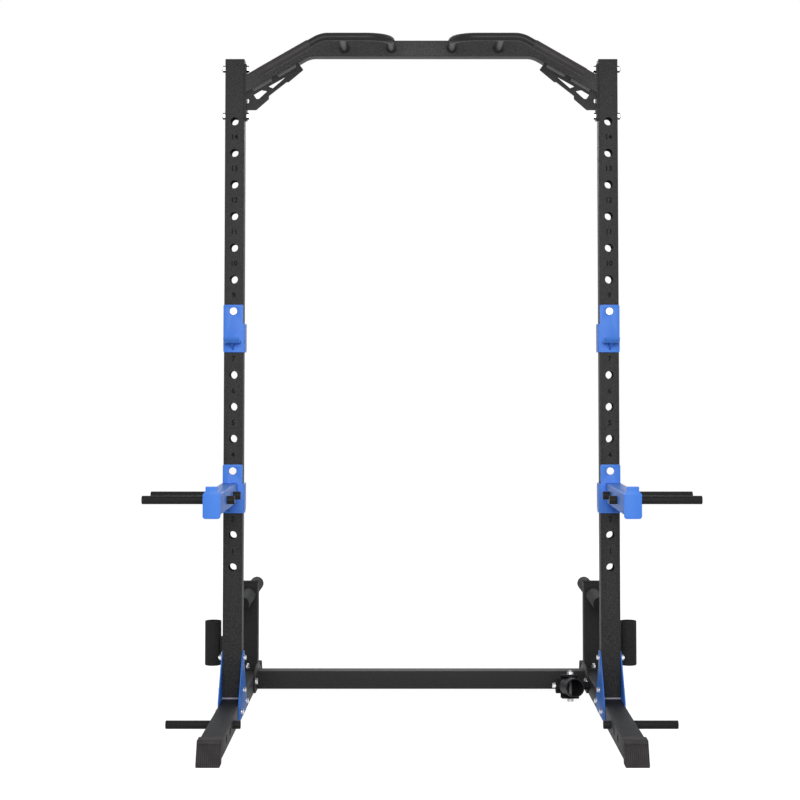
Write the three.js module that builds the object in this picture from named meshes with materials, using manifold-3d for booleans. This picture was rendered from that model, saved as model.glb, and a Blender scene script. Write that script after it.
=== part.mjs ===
// Half rack: two numbered uprights on base tubes, a bent pull-up crossbar, plate storage, a bar holder on each
// side, J-hooks, spotter arms and a landmine swivel. Millimetres, +Z up, +Y towards the rear, floor at Z = 0.

import * as THREE from 'three';
import { mergeVertices } from 'three/addons/utils/BufferGeometryUtils.js';
import Module from 'manifold-3d';

const wasm = await Module();
wasm.setup();

// Clearances and shared allowances
const jointGap = 0.3;
const runningGap = 0.5;
const cutOverrun = 5;
const weldTolerance = 1e-4;
const cornerSegments = 1;

// Square tube stock, shared by the uprights, base, posts and crossmember
const tubeSide = 60;
const tubeWall = 2.5;
const tubeCornerRadius = 2;
const tubeHalf = tubeSide / 2;

// Rack layout, measured from the front face of the uprights and the middle of the rack
const uprightSpacing = 1180;
const uprightLength = 1998;
const uprightFootGap = 5;
const baseGroundClearance = 6;
const baseFrontReach = 630;
const baseRearReach = 722;
const uprightX = uprightSpacing / 2;
const uprightAxisY = tubeHalf;
const innerFaceX = uprightX - tubeHalf;
const outerFaceX = uprightX + tubeHalf;
const baseAxisZ = baseGroundClearance + tubeHalf;
const baseTopZ = baseGroundClearance + tubeSide;
const uprightBottomZ = baseTopZ + uprightFootGap;
const uprightTopZ = uprightBottomZ + uprightLength;

// Adjustment holes through the uprights, front to rear
const holeSpacing = 100;
const firstHoleHeight = 402;
const plainTopLength = 196;
const holeRowLength = uprightLength - firstHoleHeight - plainTopLength;
const holeCount = 1 + Math.floor( holeRowLength / holeSpacing );
const holeDiameter = 25;
const holeSegments = 12;

// Tube end caps
const capThickness = 2;
const capInsertDepth = 14;
const capInsertWall = 3;
const capPlugRadius = 2;

// Bolts, size M12 with washers
const boltDiameter = 12;
const boltHeadAcrossFlats = 19;
const boltHeadHeight = 8;
const boltNutHeight = 10;
const boltTipLength = 4;
const boltSegments = 10;
const hexagonSides = 6;
const washerDiameter = 24;
const washerThickness = 2.5;
const washerSegments = 12;

// Rubber boots on the ends of the base tubes
const bootWall = 5.5;
const bootFrontWall = 8;
const bootTopRise = 4;
const bootTopLength = 54;
const bootFaceLean = 35;
const bootRibCount = 12;
const bootRibGroove = 2.4;
const bootRibDepth = 1.6;
const bootRibMargin = 7;

// Blue gusset plates at the foot of each upright
const gussetThickness = 3.5;
const gussetTopHeight = 211;
const gussetTopChamfer = 12;
const gussetShoulderZ = 165;
const gussetBottomZ = 12;
const gussetFrontReach = 100;
const gussetRearReach = 80;
const gussetFrontSideHeight = 60;
const gussetRearSideHeight = 43;
const gussetFrontChamfer = 6;
const gussetRearChamfer = 12;

// Rear posts, their foot plates and the plate storage horns through them
const postEndInset = 147;
const postRise = 291;
const postFootPlateThickness = 6;
const postFootPlateOverhang = 40;
const hornDiameter = 48;
const hornWall = 3;
const hornReach = 260;
const hornBelowPostTop = 39;
const hornSegments = 16;
const hornCapThickness = 5;
const hornCapChamfer = 2;
const postFrontY = baseRearReach - postEndInset;
const postAxisY = postFrontY + tubeHalf;
const postTopZ = baseTopZ + postRise;
const hornAxisZ = postTopZ - hornBelowPostTop;

// Lower crossmember and its end flanges
const crossmemberPostGap = 16;
const crossmemberRise = 4;
const crossFlangeThickness = 6;
const crossFlangeLength = 228;
const crossFlangeBottomLength = 180;
const crossFlangeTopLength = 96;
const crossFlangeHeight = 82;
const crossFlangeChamferHeight = 24;
const crossFlangeSideHeight = 58;
const crossFlangeBoltInset = 15;
const crossFlangeBoltRise = 12;
const crossFlangeDrainHole = 24;
const crossmemberAxisY = postFrontY - crossmemberPostGap - tubeHalf;
const crossmemberAxisZ = baseAxisZ + crossmemberRise;
const crossFlangeBoltZ = baseAxisZ + crossFlangeBoltRise;
const crossFlangeBoltReach = crossFlangeLength / 2 - crossFlangeBoltInset;
const crossFlangeBoltPlaces = [
	crossmemberAxisY - crossFlangeBoltReach,
	crossmemberAxisY + crossFlangeBoltReach
];

// Vertical bar holders beside the rear posts
const barHolderDiameter = 56;
const barHolderWall = 2.5;
const barHolderHeight = 151;
const barHolderBottomZ = 74;
const barHolderOffset = 95;
const barHolderFloor = 4;
const barHolderDrain = 20;
const barHolderSegments = 20;
const holderStubSide = 50;
const holderStubRise = 46;

// Bent top crossbar with its end flanges and cut-out gussets
const crossbarHeight = 50;
const crossbarDepth = 60;
const crossbarWall = 2.5;
const crossbarRise = 36;
const crossbarSlopeRun = 194;
const crossbarSlopeDegrees = 30;
const crossbarBendRadius = 90;
const crossbarBendSteps = 4;
const crossbarEdgeRadius = 2;
const flangeThickness = 6;
const flangeTopDrop = 13;
const flangeHeight = 176;
const flangeBoltMargin = 13;
const archGussetThickness = 6;
const archGussetLength = 193;
const archGussetEndDepth = 27;
const archGussetWaistDepth = 34.5;
const archGussetHipDepth = 53.5;
const archGussetFootDepth = 63.5;
const archGussetInset = 3;
const archNotchDepth = 9;
const archNotchChamfer = 3;
const crossbarSlope = THREE.MathUtils.degToRad( crossbarSlopeDegrees );
const crossbarEndX = innerFaceX - flangeThickness;
const crossbarBendX = crossbarEndX - crossbarSlopeRun;
const crossbarAxisZ = uprightTopZ + crossbarRise;
const flangeTopZ = uprightTopZ - flangeTopDrop;

// Pull-up handles in front of the crossbar
const handleDiameter = 25;
const handleReach = 202;
const handleInnerX = 95;
const handleBendInset = 54;
const handleStubInset = 63;
const handleEndInset = 58;
const handleReturnRadius = 75;
const handleDropRadius = 80;
const handleSegments = 12;
const handleReturnSteps = 6;
const handleDropSteps = 3;
const gripDiameter = 28.5;
const gripLength = 176;
const gripEndWall = 2.5;
const gripEndChamfer = 1.5;
const gripSegments = 16;
const handleBendX = crossbarBendX - handleBendInset;
const handleStubX = handleBendX - handleStubInset;
const handleOuterX = crossbarEndX - handleEndInset;

// Band pegs through the base tubes
const basePegDiameter = 25;
const basePegSetback = 383;
const basePegInset = 21;
const basePegReach = 142;
const basePegHoleSpacing = 100;
const basePegHoleCount = 3;
const pegChamfer = 1.5;
const basePegY = basePegSetback - baseFrontReach;

// Blue plate brackets, shared by the J-hooks and the spotter arms
const bracketThickness = 6;
const bracketWidth = 62;
const bracketCornerRadius = 5;
const bracketPinAboveTop = 20.5;
const bracketStepBelowPin = 39.5;
const flangeReach = 64;
const flangePlateThickness = 5;
const pinDiameter = 24;
const pinLength = 84;
const pinChamfer = 1.5;

// J-hook
const hookHole = 9;
const hookBelowPin = 129;
const saddleWidth = 49;
const saddleOffset = 1;
const saddleDepth = 49;
const saddleThickness = 6;
const saddleDrop = 101;
const saddleLip = 20;
const hookRibThickness = 6;
const hookRibDepth = 23;
const hookRibReach = 42;

// Spotter arm
const armHole = 4;
const armBelowPin = 131;
const armTubeWidth = 50;
const armTubeHeight = 60;
const armTubeWall = 2.5;
const armTubeLength = 498;
const armTubeTopDrop = 37;
const armTubeOffset = 10;
const armEndThickness = 6;
const armEndTopRise = 22;
const armEndBottomDrop = 10;
const armEndTabWidth = 35;
const armEndTabShoulder = 8;
const armEndCornerRadius = 6;
const armRibThickness = 6;
const armRibHeight = 32;
const armRibReach = 40;
const armFlangeChamfer = 16;
const armPegDiameter = 25;
const armPegInset = 22;
const armPegReach = 202;
const armPegFirstY = 125;
const armPegSpacing = 185;

// Landmine swivel on the right base tube
const swivelAxleLead = 30;
const swivelAxleRise = 3;
const swivelAxleY = crossFlangeBoltPlaces[ 0 ] - swivelAxleLead;
const swivelAxleZ = baseAxisZ + swivelAxleRise;
const swivelAxleDiameter = 14;
const swivelBarrelDiameter = 51;
const swivelBarrelLength = 84;
const swivelSpacerDiameter = 27;
const swivelSpacerLength = 28;
const swivelHeadDiameter = 19;
const swivelHeadLength = 12;
const swivelSegments = 18;
const yokeWidth = 56;
const yokePlate = 6;
const yokeWeldDepth = 2;
const yokeInnerHeight = 64;
const yokeReach = 79;
const yokeNose = 20;
const yokeEndChamfer = 10;
const kingBoltDiameter = 10;
const kingBoltHeadWidth = 18;
const kingBoltHeadHeight = 10;
const kingBoltNutHeight = 10;
const sleeveDiameter = 60;
const sleeveWall = 4;
const sleeveFront = 92;
const sleeveRear = 34;
const sleeveRestDegrees = 5.5;

// Finishes
const finishes = {
	frame: { color: 0x2b2b2d, roughness: 0.5, metalness: 0.1 },
	blue: { color: 0x3a78e6, roughness: 0.35, metalness: 0.1 },
	zinc: { color: 0xd8dadf, roughness: 0.3, metalness: 0.9 },
	plastic: { color: 0x1f1e1e, roughness: 0.6, metalness: 0.0 },
	rubber: { color: 0x2a2726, roughness: 0.85, metalness: 0.0 },
	peg: { color: 0x1d1d1e, roughness: 0.4, metalness: 0.2 },
	steel: { color: 0xe6e3e8, roughness: 0.2, metalness: 1.0 }
};

// Solid helpers

function toSolid( geometry ) {

	const plain = geometry.clone();
	plain.deleteAttribute( 'normal' );
	plain.deleteAttribute( 'uv' );
	const merged = mergeVertices( plain, weldTolerance );
	const mesh = new wasm.Mesh( {
		numProp: 3,
		vertProperties: new Float32Array( merged.attributes.position.array ),
		triVerts: new Uint32Array( merged.index.array )
	} );
	return new wasm.Manifold( mesh );

}

function toGeometry( solid ) {

	const mesh = solid.getMesh();
	const geometry = new THREE.BufferGeometry();
	geometry.setAttribute( 'position', new THREE.BufferAttribute( mesh.vertProperties, 3 ) );
	geometry.setIndex( new THREE.BufferAttribute( mesh.triVerts, 1 ) );
	geometry.computeVertexNormals();
	return geometry;

}

function joinSolids( solids ) {

	return solids.reduce( ( whole, solid ) => whole.add( solid ) );

}

function cutSolids( body, cutters ) {

	return cutters.reduce( ( whole, cutter ) => whole.subtract( cutter ), body );

}

// A box between two corners
function block( x0, x1, y0, y1, z0, z1 ) {

	const box = new THREE.BoxGeometry( Math.abs( x1 - x0 ), Math.abs( y1 - y0 ), Math.abs( z1 - z0 ) );
	box.translate( ( x0 + x1 ) / 2, ( y0 + y1 ) / 2, ( z0 + z1 ) / 2 );
	return toSolid( box );

}

// Turns a form made along Z so that it lies along the named axis
function layAlong( geometry, axis ) {

	if ( axis === 'x' ) geometry.rotateY( Math.PI / 2 );
	if ( axis === 'y' ) geometry.rotateX( - Math.PI / 2 );
	return geometry;

}

// A round bar from a point, running along the named axis, with chamfered ends
function roundBar( diameter, length, segments, chamfer, axis, start ) {

	const radius = diameter / 2;
	const profile = [
		new THREE.Vector2( 0, 0 ),
		new THREE.Vector2( radius - chamfer, 0 ),
		new THREE.Vector2( radius, chamfer ),
		new THREE.Vector2( radius, length - chamfer ),
		new THREE.Vector2( radius - chamfer, length ),
		new THREE.Vector2( 0, length )
	];
	const corners = chamfer > 0 ? profile : [ profile[ 0 ], profile[ 2 ], profile[ 3 ], profile[ 5 ] ];
	const geometry = new THREE.LatheGeometry( corners, segments );
	geometry.rotateX( Math.PI / 2 );
	layAlong( geometry, axis );
	geometry.translate( start.x, start.y, start.z );
	return toSolid( geometry );

}

function cutterBar( diameter, length, segments, axis, start ) {

	return roundBar( diameter, length, segments, 0, axis, start );

}

// A round tube along the named axis, open at both ends
function roundTube( diameter, wall, length, segments, axis, start ) {

	const outer = diameter / 2;
	const inner = outer - wall;
	const profile = [
		new THREE.Vector2( inner, 0 ),
		new THREE.Vector2( outer, 0 ),
		new THREE.Vector2( outer, length ),
		new THREE.Vector2( inner, length ),
		new THREE.Vector2( inner, 0 )
	];
	const geometry = new THREE.LatheGeometry( profile, segments );
	geometry.rotateX( Math.PI / 2 );
	layAlong( geometry, axis );
	geometry.translate( start.x, start.y, start.z );
	return toSolid( geometry );

}

// The outline of a rectangle with rounded corners, centred on the origin
function roundedRectangle( ShapeClass, width, height, radius ) {

	const x = width / 2;
	const y = height / 2;
	const outline = new ShapeClass();
	outline.moveTo( - x + radius, - y );
	outline.lineTo( x - radius, - y );
	outline.absarc( x - radius, - y + radius, radius, - Math.PI / 2, 0, false );
	outline.lineTo( x, y - radius );
	outline.absarc( x - radius, y - radius, radius, 0, Math.PI / 2, false );
	outline.lineTo( - x + radius, y );
	outline.absarc( - x + radius, y - radius, radius, Math.PI / 2, Math.PI, false );
	outline.lineTo( - x, - y + radius );
	outline.absarc( - x + radius, - y + radius, radius, Math.PI, Math.PI * 1.5, false );
	outline.closePath();
	return outline;

}

function tubeSection( width, height, wall, radius ) {

	const section = roundedRectangle( THREE.Shape, width, height, radius );
	const inside = Math.max( radius - wall, wall / 2 );
	section.holes.push( roundedRectangle( THREE.Path, width - 2 * wall, height - 2 * wall, inside ) );
	return section;

}

// A square upright block with rounded corners, standing on a point
function roundedBlock( side, height, radius, start ) {

	const outline = roundedRectangle( THREE.Shape, side, side, radius );
	const options = { depth: height, bevelEnabled: false, curveSegments: cornerSegments };
	const geometry = new THREE.ExtrudeGeometry( outline, options );
	geometry.translate( start.x, start.y, start.z );
	return toSolid( geometry );

}

// A rectangular tube along the named axis, starting at a point on its centre line
function boxTube( width, height, wall, length, axis, start ) {

	const section = tubeSection( width, height, wall, tubeCornerRadius );
	const options = { depth: length, bevelEnabled: false, curveSegments: cornerSegments };
	const geometry = new THREE.ExtrudeGeometry( section, options );
	layAlong( geometry, axis );
	geometry.translate( start.x, start.y, start.z );
	return toSolid( geometry );

}

// A flat plate from an outline in the YZ plane, its thickness running along +X from x
function sidePlate( outline, thickness, x, curveSegments ) {

	const options = { depth: thickness, bevelEnabled: false, curveSegments };
	const geometry = new THREE.ExtrudeGeometry( outline, options );
	geometry.rotateY( Math.PI / 2 );
	geometry.rotateX( Math.PI / 2 );
	geometry.translate( x, 0, 0 );
	return toSolid( geometry );

}

// A flat plate from an outline in the XZ plane, its thickness running along -Y from y
function frontPlate( outline, thickness, y, curveSegments ) {

	const options = { depth: thickness, bevelEnabled: false, curveSegments };
	const geometry = new THREE.ExtrudeGeometry( outline, options );
	geometry.rotateX( Math.PI / 2 );
	geometry.translate( 0, y, 0 );
	return toSolid( geometry );

}

function polygon( ShapeClass, points ) {

	const outline = new ShapeClass();
	outline.setFromPoints( points.map( ( [ across, up ] ) => new THREE.Vector2( across, up ) ) );
	outline.closePath();
	return outline;

}

// Follows straight legs between corners, with a round bend at each inner corner
class BentPath extends THREE.Curve {

	constructor( corners, radii, steps ) {

		super();
		this.points = [ corners[ 0 ] ];
		this.tangents = [ corners[ 1 ].clone().sub( corners[ 0 ] ).normalize() ];
		radii.forEach( ( radius, i ) => this.addBend( ...corners.slice( i, i + 3 ), radius, steps[ i ] ) );
		this.points.push( corners.at( - 1 ) );
		this.tangents.push( corners.at( - 1 ).clone().sub( corners.at( - 2 ) ).normalize() );

	}

	addBend( before, corner, after, radius, steps ) {

		const entering = corner.clone().sub( before ).normalize();
		const leaving = after.clone().sub( corner ).normalize();
		const turn = entering.angleTo( leaving );
		const inward = leaving.clone().addScaledVector( entering, - Math.cos( turn ) ).normalize();
		const start = corner.clone().addScaledVector( entering, - radius * Math.tan( turn / 2 ) );
		const centre = start.clone().addScaledVector( inward, radius );
		for ( let step = 0; step <= steps; step ++ ) {

			const angle = turn * step / steps;
			const offset = inward.clone().multiplyScalar( - radius * Math.cos( angle ) );
			offset.addScaledVector( entering, radius * Math.sin( angle ) );
			this.points.push( centre.clone().add( offset ) );
			const tangent = entering.clone().multiplyScalar( Math.cos( angle ) );
			this.tangents.push( tangent.addScaledVector( inward, Math.sin( angle ) ) );

		}

	}

	get stations() {

		return this.points.length - 1;

	}

	getSpacedPoints() {

		return this.points.map( ( point ) => point.clone() );

	}

	getPointAt( share ) {

		return this.points[ Math.round( share * this.stations ) ].clone();

	}

	getTangentAt( share ) {

		return this.tangents[ Math.round( share * this.stations ) ].clone();

	}

}

function sweep( section, path, curveSegments ) {

	const options = { steps: path.stations, extrudePath: path, curveSegments };
	return toSolid( new THREE.ExtrudeGeometry( section, options ) );

}

function at( x, y, z ) {

	return new THREE.Vector3( x, y, z );

}

// Swaps left and right, keeping the faces pointing out
function mirrored( geometry ) {

	const copy = geometry.clone();
	copy.scale( - 1, 1, 1 );
	const index = copy.index.array;
	for ( let i = 0; i < index.length; i += 3 ) {

		const second = index[ i + 1 ];
		index[ i + 1 ] = index[ i + 2 ];
		index[ i + 2 ] = second;

	}

	copy.computeVertexNormals();
	return copy;

}

// The rack group, and the ways that pieces are put into it

const halfRack = new THREE.Group();
halfRack.name = 'half_rack';

function addPiece( name, solid, finish, parent = halfRack ) {

	const mesh = new THREE.Mesh( toGeometry( solid ), new THREE.MeshStandardMaterial( finish ) );
	mesh.name = name;
	parent.add( mesh );
	return mesh;

}

// Every solid is drawn for the right side, where +X is outward, and mirrored for the left
function addPair( name, solid, finish ) {

	const geometry = toGeometry( solid );
	for ( const side of [ 'left', 'right' ] ) {

		const material = new THREE.MeshStandardMaterial( finish );
		const mesh = new THREE.Mesh( side === 'left' ? mirrored( geometry ) : geometry, material );
		mesh.name = `${ name }_${ side }`;
		halfRack.add( mesh );

	}

}

function holeHeight( number ) {

	return uprightBottomZ + firstHoleHeight + holeSpacing * ( number - 1 );

}

// Uprights

const flangeBoltHeights = [ flangeTopZ - flangeBoltMargin, flangeTopZ - flangeHeight + flangeBoltMargin ];

function uprightSolid() {

	const foot = at( uprightX, uprightAxisY, uprightBottomZ );
	const tube = boxTube( tubeSide, tubeSide, tubeWall, uprightLength, 'z', foot );
	const cutters = [];
	for ( let number = 1; number <= holeCount; number ++ ) {

		const start = at( uprightX, - cutOverrun, holeHeight( number ) );
		cutters.push( cutterBar( holeDiameter, tubeSide + 2 * cutOverrun, holeSegments, 'y', start ) );

	}

	for ( const height of flangeBoltHeights ) {

		const start = at( innerFaceX - cutOverrun, uprightAxisY, height );
		const width = boltDiameter + 2 * jointGap;
		cutters.push( cutterBar( width, tubeSide + 2 * cutOverrun, boltSegments, 'x', start ) );

	}

	return cutSolids( tube, cutters );

}

// A moulded cap: a thin lid and a hollow plug that fits inside the tube
function tubeCapSolid( x, y, z ) {

	const plugSide = tubeSide - 2 * ( tubeWall + jointGap );
	const coreSide = plugSide - 2 * capInsertWall;
	const lid = roundedBlock( tubeSide, capThickness, tubeCornerRadius, at( x, y, z ) );
	const plugHeight = capInsertDepth + capThickness / 2;
	const plug = roundedBlock( plugSide, plugHeight, capPlugRadius, at( x, y, z - capInsertDepth ) );
	const coreStart = at( x, y, z - capInsertDepth - cutOverrun );
	const core = roundedBlock( coreSide, capInsertDepth + cutOverrun - jointGap, capPlugRadius, coreStart );
	return lid.add( plug ).subtract( core );

}

// Base tubes and boots

function baseTubeSolid() {

	const length = baseFrontReach + baseRearReach;
	const start = at( uprightX, - baseFrontReach, baseAxisZ );
	const tube = boxTube( tubeSide, tubeSide, tubeWall, length, 'y', start );
	const cutters = [];
	for ( let i = 0; i < basePegHoleCount; i ++ ) {

		const start = at( innerFaceX - cutOverrun, basePegY - i * basePegHoleSpacing, baseAxisZ );
		const width = basePegDiameter + 2 * jointGap;
		cutters.push( cutterBar( width, tubeSide + 2 * cutOverrun, holeSegments, 'x', start ) );

	}

	for ( const y of crossFlangeBoltPlaces ) {

		const start = at( innerFaceX - cutOverrun, y, crossFlangeBoltZ );
		const width = boltDiameter + 2 * jointGap;
		cutters.push( cutterBar( width, tubeSide + 2 * cutOverrun, boltSegments, 'x', start ) );

	}

	return cutSolids( tube, cutters );

}

// The boot is drawn for the front end; turned is true for the rear end, which points the other way
function bootSolid( turned ) {

	const half = tubeHalf + bootWall;
	const topZ = baseTopZ + bootTopRise;
	const faceTop = baseFrontReach + bootFrontWall;
	const faceBottom = faceTop + bootFaceLean;
	const outline = polygon( THREE.Shape, [
		[ - faceBottom, 0 ],
		[ - faceTop, topZ ],
		[ - faceTop + bootTopLength, topZ ],
		[ - faceBottom + bootTopLength, 0 ]
	].reverse() );
	const body = sidePlate( outline, 2 * half, uprightX - half, 1 );
	const pocketHalf = tubeHalf + jointGap;
	const pocketX = [ uprightX - pocketHalf, uprightX + pocketHalf ];
	const pocketZ = [ baseGroundClearance - jointGap, baseTopZ + jointGap ];
	const pocketY = [ - baseFrontReach - jointGap, - faceTop + bootTopLength + cutOverrun ];
	const pocket = block( ...pocketX, ...pocketY, ...pocketZ );
	const grooves = [];
	const pitch = 2 * half / bootRibCount;
	const leanAngle = Math.atan2( bootFaceLean, topZ );
	const grooveLength = Math.hypot( bootFaceLean, topZ ) - 2 * bootRibMargin;
	for ( let i = 0; i < bootRibCount; i ++ ) {

		const groove = new THREE.BoxGeometry( bootRibGroove, 2 * bootRibDepth, grooveLength );
		groove.rotateX( - leanAngle );
		groove.translate( uprightX - half + pitch * ( i + 0.5 ), - ( faceTop + faceBottom ) / 2, topZ / 2 );
		grooves.push( toSolid( groove ) );

	}

	const boot = cutSolids( body.subtract( pocket ), grooves );
	if ( ! turned ) return boot;
	const middle = baseRearReach - baseFrontReach;
	return boot.mirror( [ 0, 1, 0 ] ).translate( [ 0, middle, 0 ] );

}

// The gusset plate beside the foot of an upright
function baseGussetSolid( x ) {

	const front = - gussetFrontReach;
	const rear = tubeSide + gussetRearReach;
	const outline = polygon( THREE.Shape, [
		[ front, gussetBottomZ + gussetFrontChamfer ],
		[ front + gussetFrontChamfer, gussetBottomZ ],
		[ rear - gussetRearChamfer, gussetBottomZ ],
		[ rear, gussetBottomZ + gussetRearChamfer ],
		[ rear, gussetBottomZ + gussetRearSideHeight ],
		[ tubeSide + gussetThickness, gussetShoulderZ ],
		[ tubeSide, gussetTopHeight - gussetTopChamfer ],
		[ tubeSide - gussetTopChamfer, gussetTopHeight ],
		[ gussetTopChamfer, gussetTopHeight ],
		[ 0, gussetTopHeight - gussetTopChamfer ],
		[ front, gussetBottomZ + gussetFrontSideHeight ]
	] );
	return sidePlate( outline, gussetThickness, x, 1 );

}

// Rear posts, horns and bar holders

function rearPostSolid() {

	const bottom = baseTopZ + postFootPlateThickness;
	const foot = at( uprightX, postAxisY, bottom );
	const tube = boxTube( tubeSide, tubeSide, tubeWall, postTopZ - bottom, 'z', foot );
	const plateFront = postFrontY - postFootPlateOverhang;
	const plateRear = postFrontY + tubeSide + postFootPlateOverhang;
	const plate = block( innerFaceX, outerFaceX, plateFront, plateRear, baseTopZ, bottom );
	const hornHole = hornDiameter + 2 * jointGap;
	const start = at( uprightX, postFrontY - cutOverrun, hornAxisZ );
	const hole = cutterBar( hornHole, tubeSide + 2 * cutOverrun, hornSegments, 'y', start );
	return tube.add( plate ).subtract( hole );

}

const hornFrontY = postFrontY - hornReach;
const hornLength = tubeSide + 2 * hornReach;

// A plug cap for one horn end: direction is -1 at the front end and 1 at the rear end
function hornCapSolid( direction ) {

	const outer = hornDiameter / 2;
	const inner = outer - hornWall - jointGap;
	const profile = [
		[ 0, - capInsertDepth ],
		[ inner, - capInsertDepth ],
		[ inner, 0 ],
		[ outer, 0 ],
		[ outer, hornCapThickness - hornCapChamfer ],
		[ outer - hornCapChamfer, hornCapThickness ],
		[ 0, hornCapThickness ]
	].map( ( [ radius, height ] ) => new THREE.Vector2( radius, height ) );
	const cap = new THREE.LatheGeometry( profile, hornSegments );
	if ( direction < 0 ) cap.rotateX( Math.PI );
	cap.translate( uprightX, direction < 0 ? hornFrontY : hornFrontY + hornLength, hornAxisZ );
	return toSolid( cap );

}

function barHolderSolid() {

	const x = outerFaceX + barHolderOffset;
	const base = at( x, postAxisY, barHolderBottomZ );
	const cup = cutterBar( barHolderDiameter, barHolderHeight, barHolderSegments, 'z', base );
	const boreStart = at( x, postAxisY, barHolderBottomZ + barHolderFloor );
	const boreWidth = barHolderDiameter - 2 * barHolderWall;
	const bore = cutterBar( boreWidth, barHolderHeight, barHolderSegments, 'z', boreStart );
	const drainStart = at( x, postAxisY, barHolderBottomZ - cutOverrun );
	const drain = cutterBar( barHolderDrain, barHolderFloor + 2 * cutOverrun, boltSegments, 'z', drainStart );
	const stubZ = barHolderBottomZ + holderStubRise + holderStubSide / 2;
	const stubStart = at( outerFaceX, postAxisY, stubZ );
	const stub = boxTube( holderStubSide, holderStubSide, barHolderWall, barHolderOffset, 'x', stubStart );
	return cup.add( stub ).subtract( bore ).subtract( drain );

}

// The crossmember with the bolted end flanges welded to it

function crossmemberSolid() {

	const flangeX = innerFaceX - crossFlangeThickness;
	const tubeStart = at( - flangeX, crossmemberAxisY, crossmemberAxisZ );
	const tube = boxTube( tubeSide, tubeSide, tubeWall, 2 * flangeX, 'x', tubeStart );
	const front = crossmemberAxisY - crossFlangeLength / 2;
	const rear = crossmemberAxisY + crossFlangeLength / 2;
	const topZ = baseGroundClearance + crossFlangeHeight;
	const sideTopZ = baseGroundClearance + crossFlangeSideHeight;
	const sideBottomZ = baseGroundClearance + crossFlangeChamferHeight;
	const outline = polygon( THREE.Shape, [
		[ crossmemberAxisY - crossFlangeBottomLength / 2, baseGroundClearance ],
		[ crossmemberAxisY + crossFlangeBottomLength / 2, baseGroundClearance ],
		[ rear, sideBottomZ ],
		[ rear, sideTopZ ],
		[ crossmemberAxisY + crossFlangeTopLength / 2, topZ ],
		[ crossmemberAxisY - crossFlangeTopLength / 2, topZ ],
		[ front, sideTopZ ],
		[ front, sideBottomZ ]
	] );
	const whole = joinSolids( [
		tube,
		sidePlate( outline, crossFlangeThickness, flangeX, 1 ),
		sidePlate( outline, crossFlangeThickness, - innerFaceX, 1 )
	] );
	const crossCut = ( width, y, z ) => {

		const start = at( - innerFaceX - cutOverrun, y, z );
		return cutterBar( width, 2 * ( innerFaceX + cutOverrun ), boltSegments, 'x', start );

	};

	const boltHole = boltDiameter + 2 * jointGap;
	const boltCuts = crossFlangeBoltPlaces.map( ( y ) => crossCut( boltHole, y, crossFlangeBoltZ ) );
	const drain = crossCut( crossFlangeDrainHole, crossmemberAxisY, crossmemberAxisZ );
	return cutSolids( whole, [ drain, ...boltCuts ] );

}

// The bent crossbar, its end flanges and gussets

const crossbarEndZ = crossbarAxisZ - ( crossbarEndX - crossbarBendX ) * Math.tan( crossbarSlope );

function crossbarSolid() {

	const overrun = crossbarHeight;
	const endX = crossbarEndX + overrun * Math.cos( crossbarSlope );
	const endZ = crossbarEndZ - overrun * Math.sin( crossbarSlope );
	const middleY = crossbarDepth / 2;
	const path = new BentPath(
		[
			at( - endX, middleY, endZ ),
			at( - crossbarBendX, middleY, crossbarAxisZ ),
			at( crossbarBendX, middleY, crossbarAxisZ ),
			at( endX, middleY, endZ )
		],
		[ crossbarBendRadius, crossbarBendRadius ],
		[ crossbarBendSteps, crossbarBendSteps ]
	);
	const section = tubeSection( crossbarDepth, crossbarHeight, crossbarWall, crossbarEdgeRadius );
	const swept = sweep( section, path, cornerSegments );
	const reach = crossbarEndX;
	const sliceY = [ - cutOverrun, crossbarDepth + cutOverrun ];
	const slice = block( - reach, reach, ...sliceY, 0, crossbarAxisZ + crossbarHeight );
	return swept.intersect( slice );

}

function crossbarFlangeSolid() {

	const plate = block( crossbarEndX, innerFaceX, 0, tubeSide, flangeTopZ - flangeHeight, flangeTopZ );
	const width = boltDiameter + 2 * jointGap;
	const holes = flangeBoltHeights.map( ( height ) => {

		const start = at( crossbarEndX - cutOverrun, uprightAxisY, height );
		return cutterBar( width, flangeThickness + 2 * cutOverrun, boltSegments, 'x', start );

	} );
	return cutSolids( plate, holes );

}

// Places a point of the gusset: along the sloped tube from the flange, and square to it, downwards
function archPoint( along, below ) {

	const cornerZ = crossbarEndZ - crossbarHeight / 2 / Math.cos( crossbarSlope );
	const x = crossbarEndX - along * Math.cos( crossbarSlope ) - below * Math.sin( crossbarSlope );
	const z = cornerZ + along * Math.sin( crossbarSlope ) - below * Math.cos( crossbarSlope );
	return [ x, z ];

}

const archNotchShares = [ [ 0.11, 0.48 ], [ 0.58, 0.9375 ] ];
const archTriangleShares = [ [ 0.366, 0.52 ], [ 0.706, 0.54 ], [ 0.4145, 0.865 ] ];
const archQuadShares = [
	[ 0.089, 0.51 ],
	[ 0.239, 0.49 ],
	[ 0.313, 0.845 ],
	[ 0.13, 1.07 ],
	[ 0.096, 0.977 ]
];
const archWaistShare = 0.69;
const archHipShare = 0.268;
const archStepLength = 6;

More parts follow.
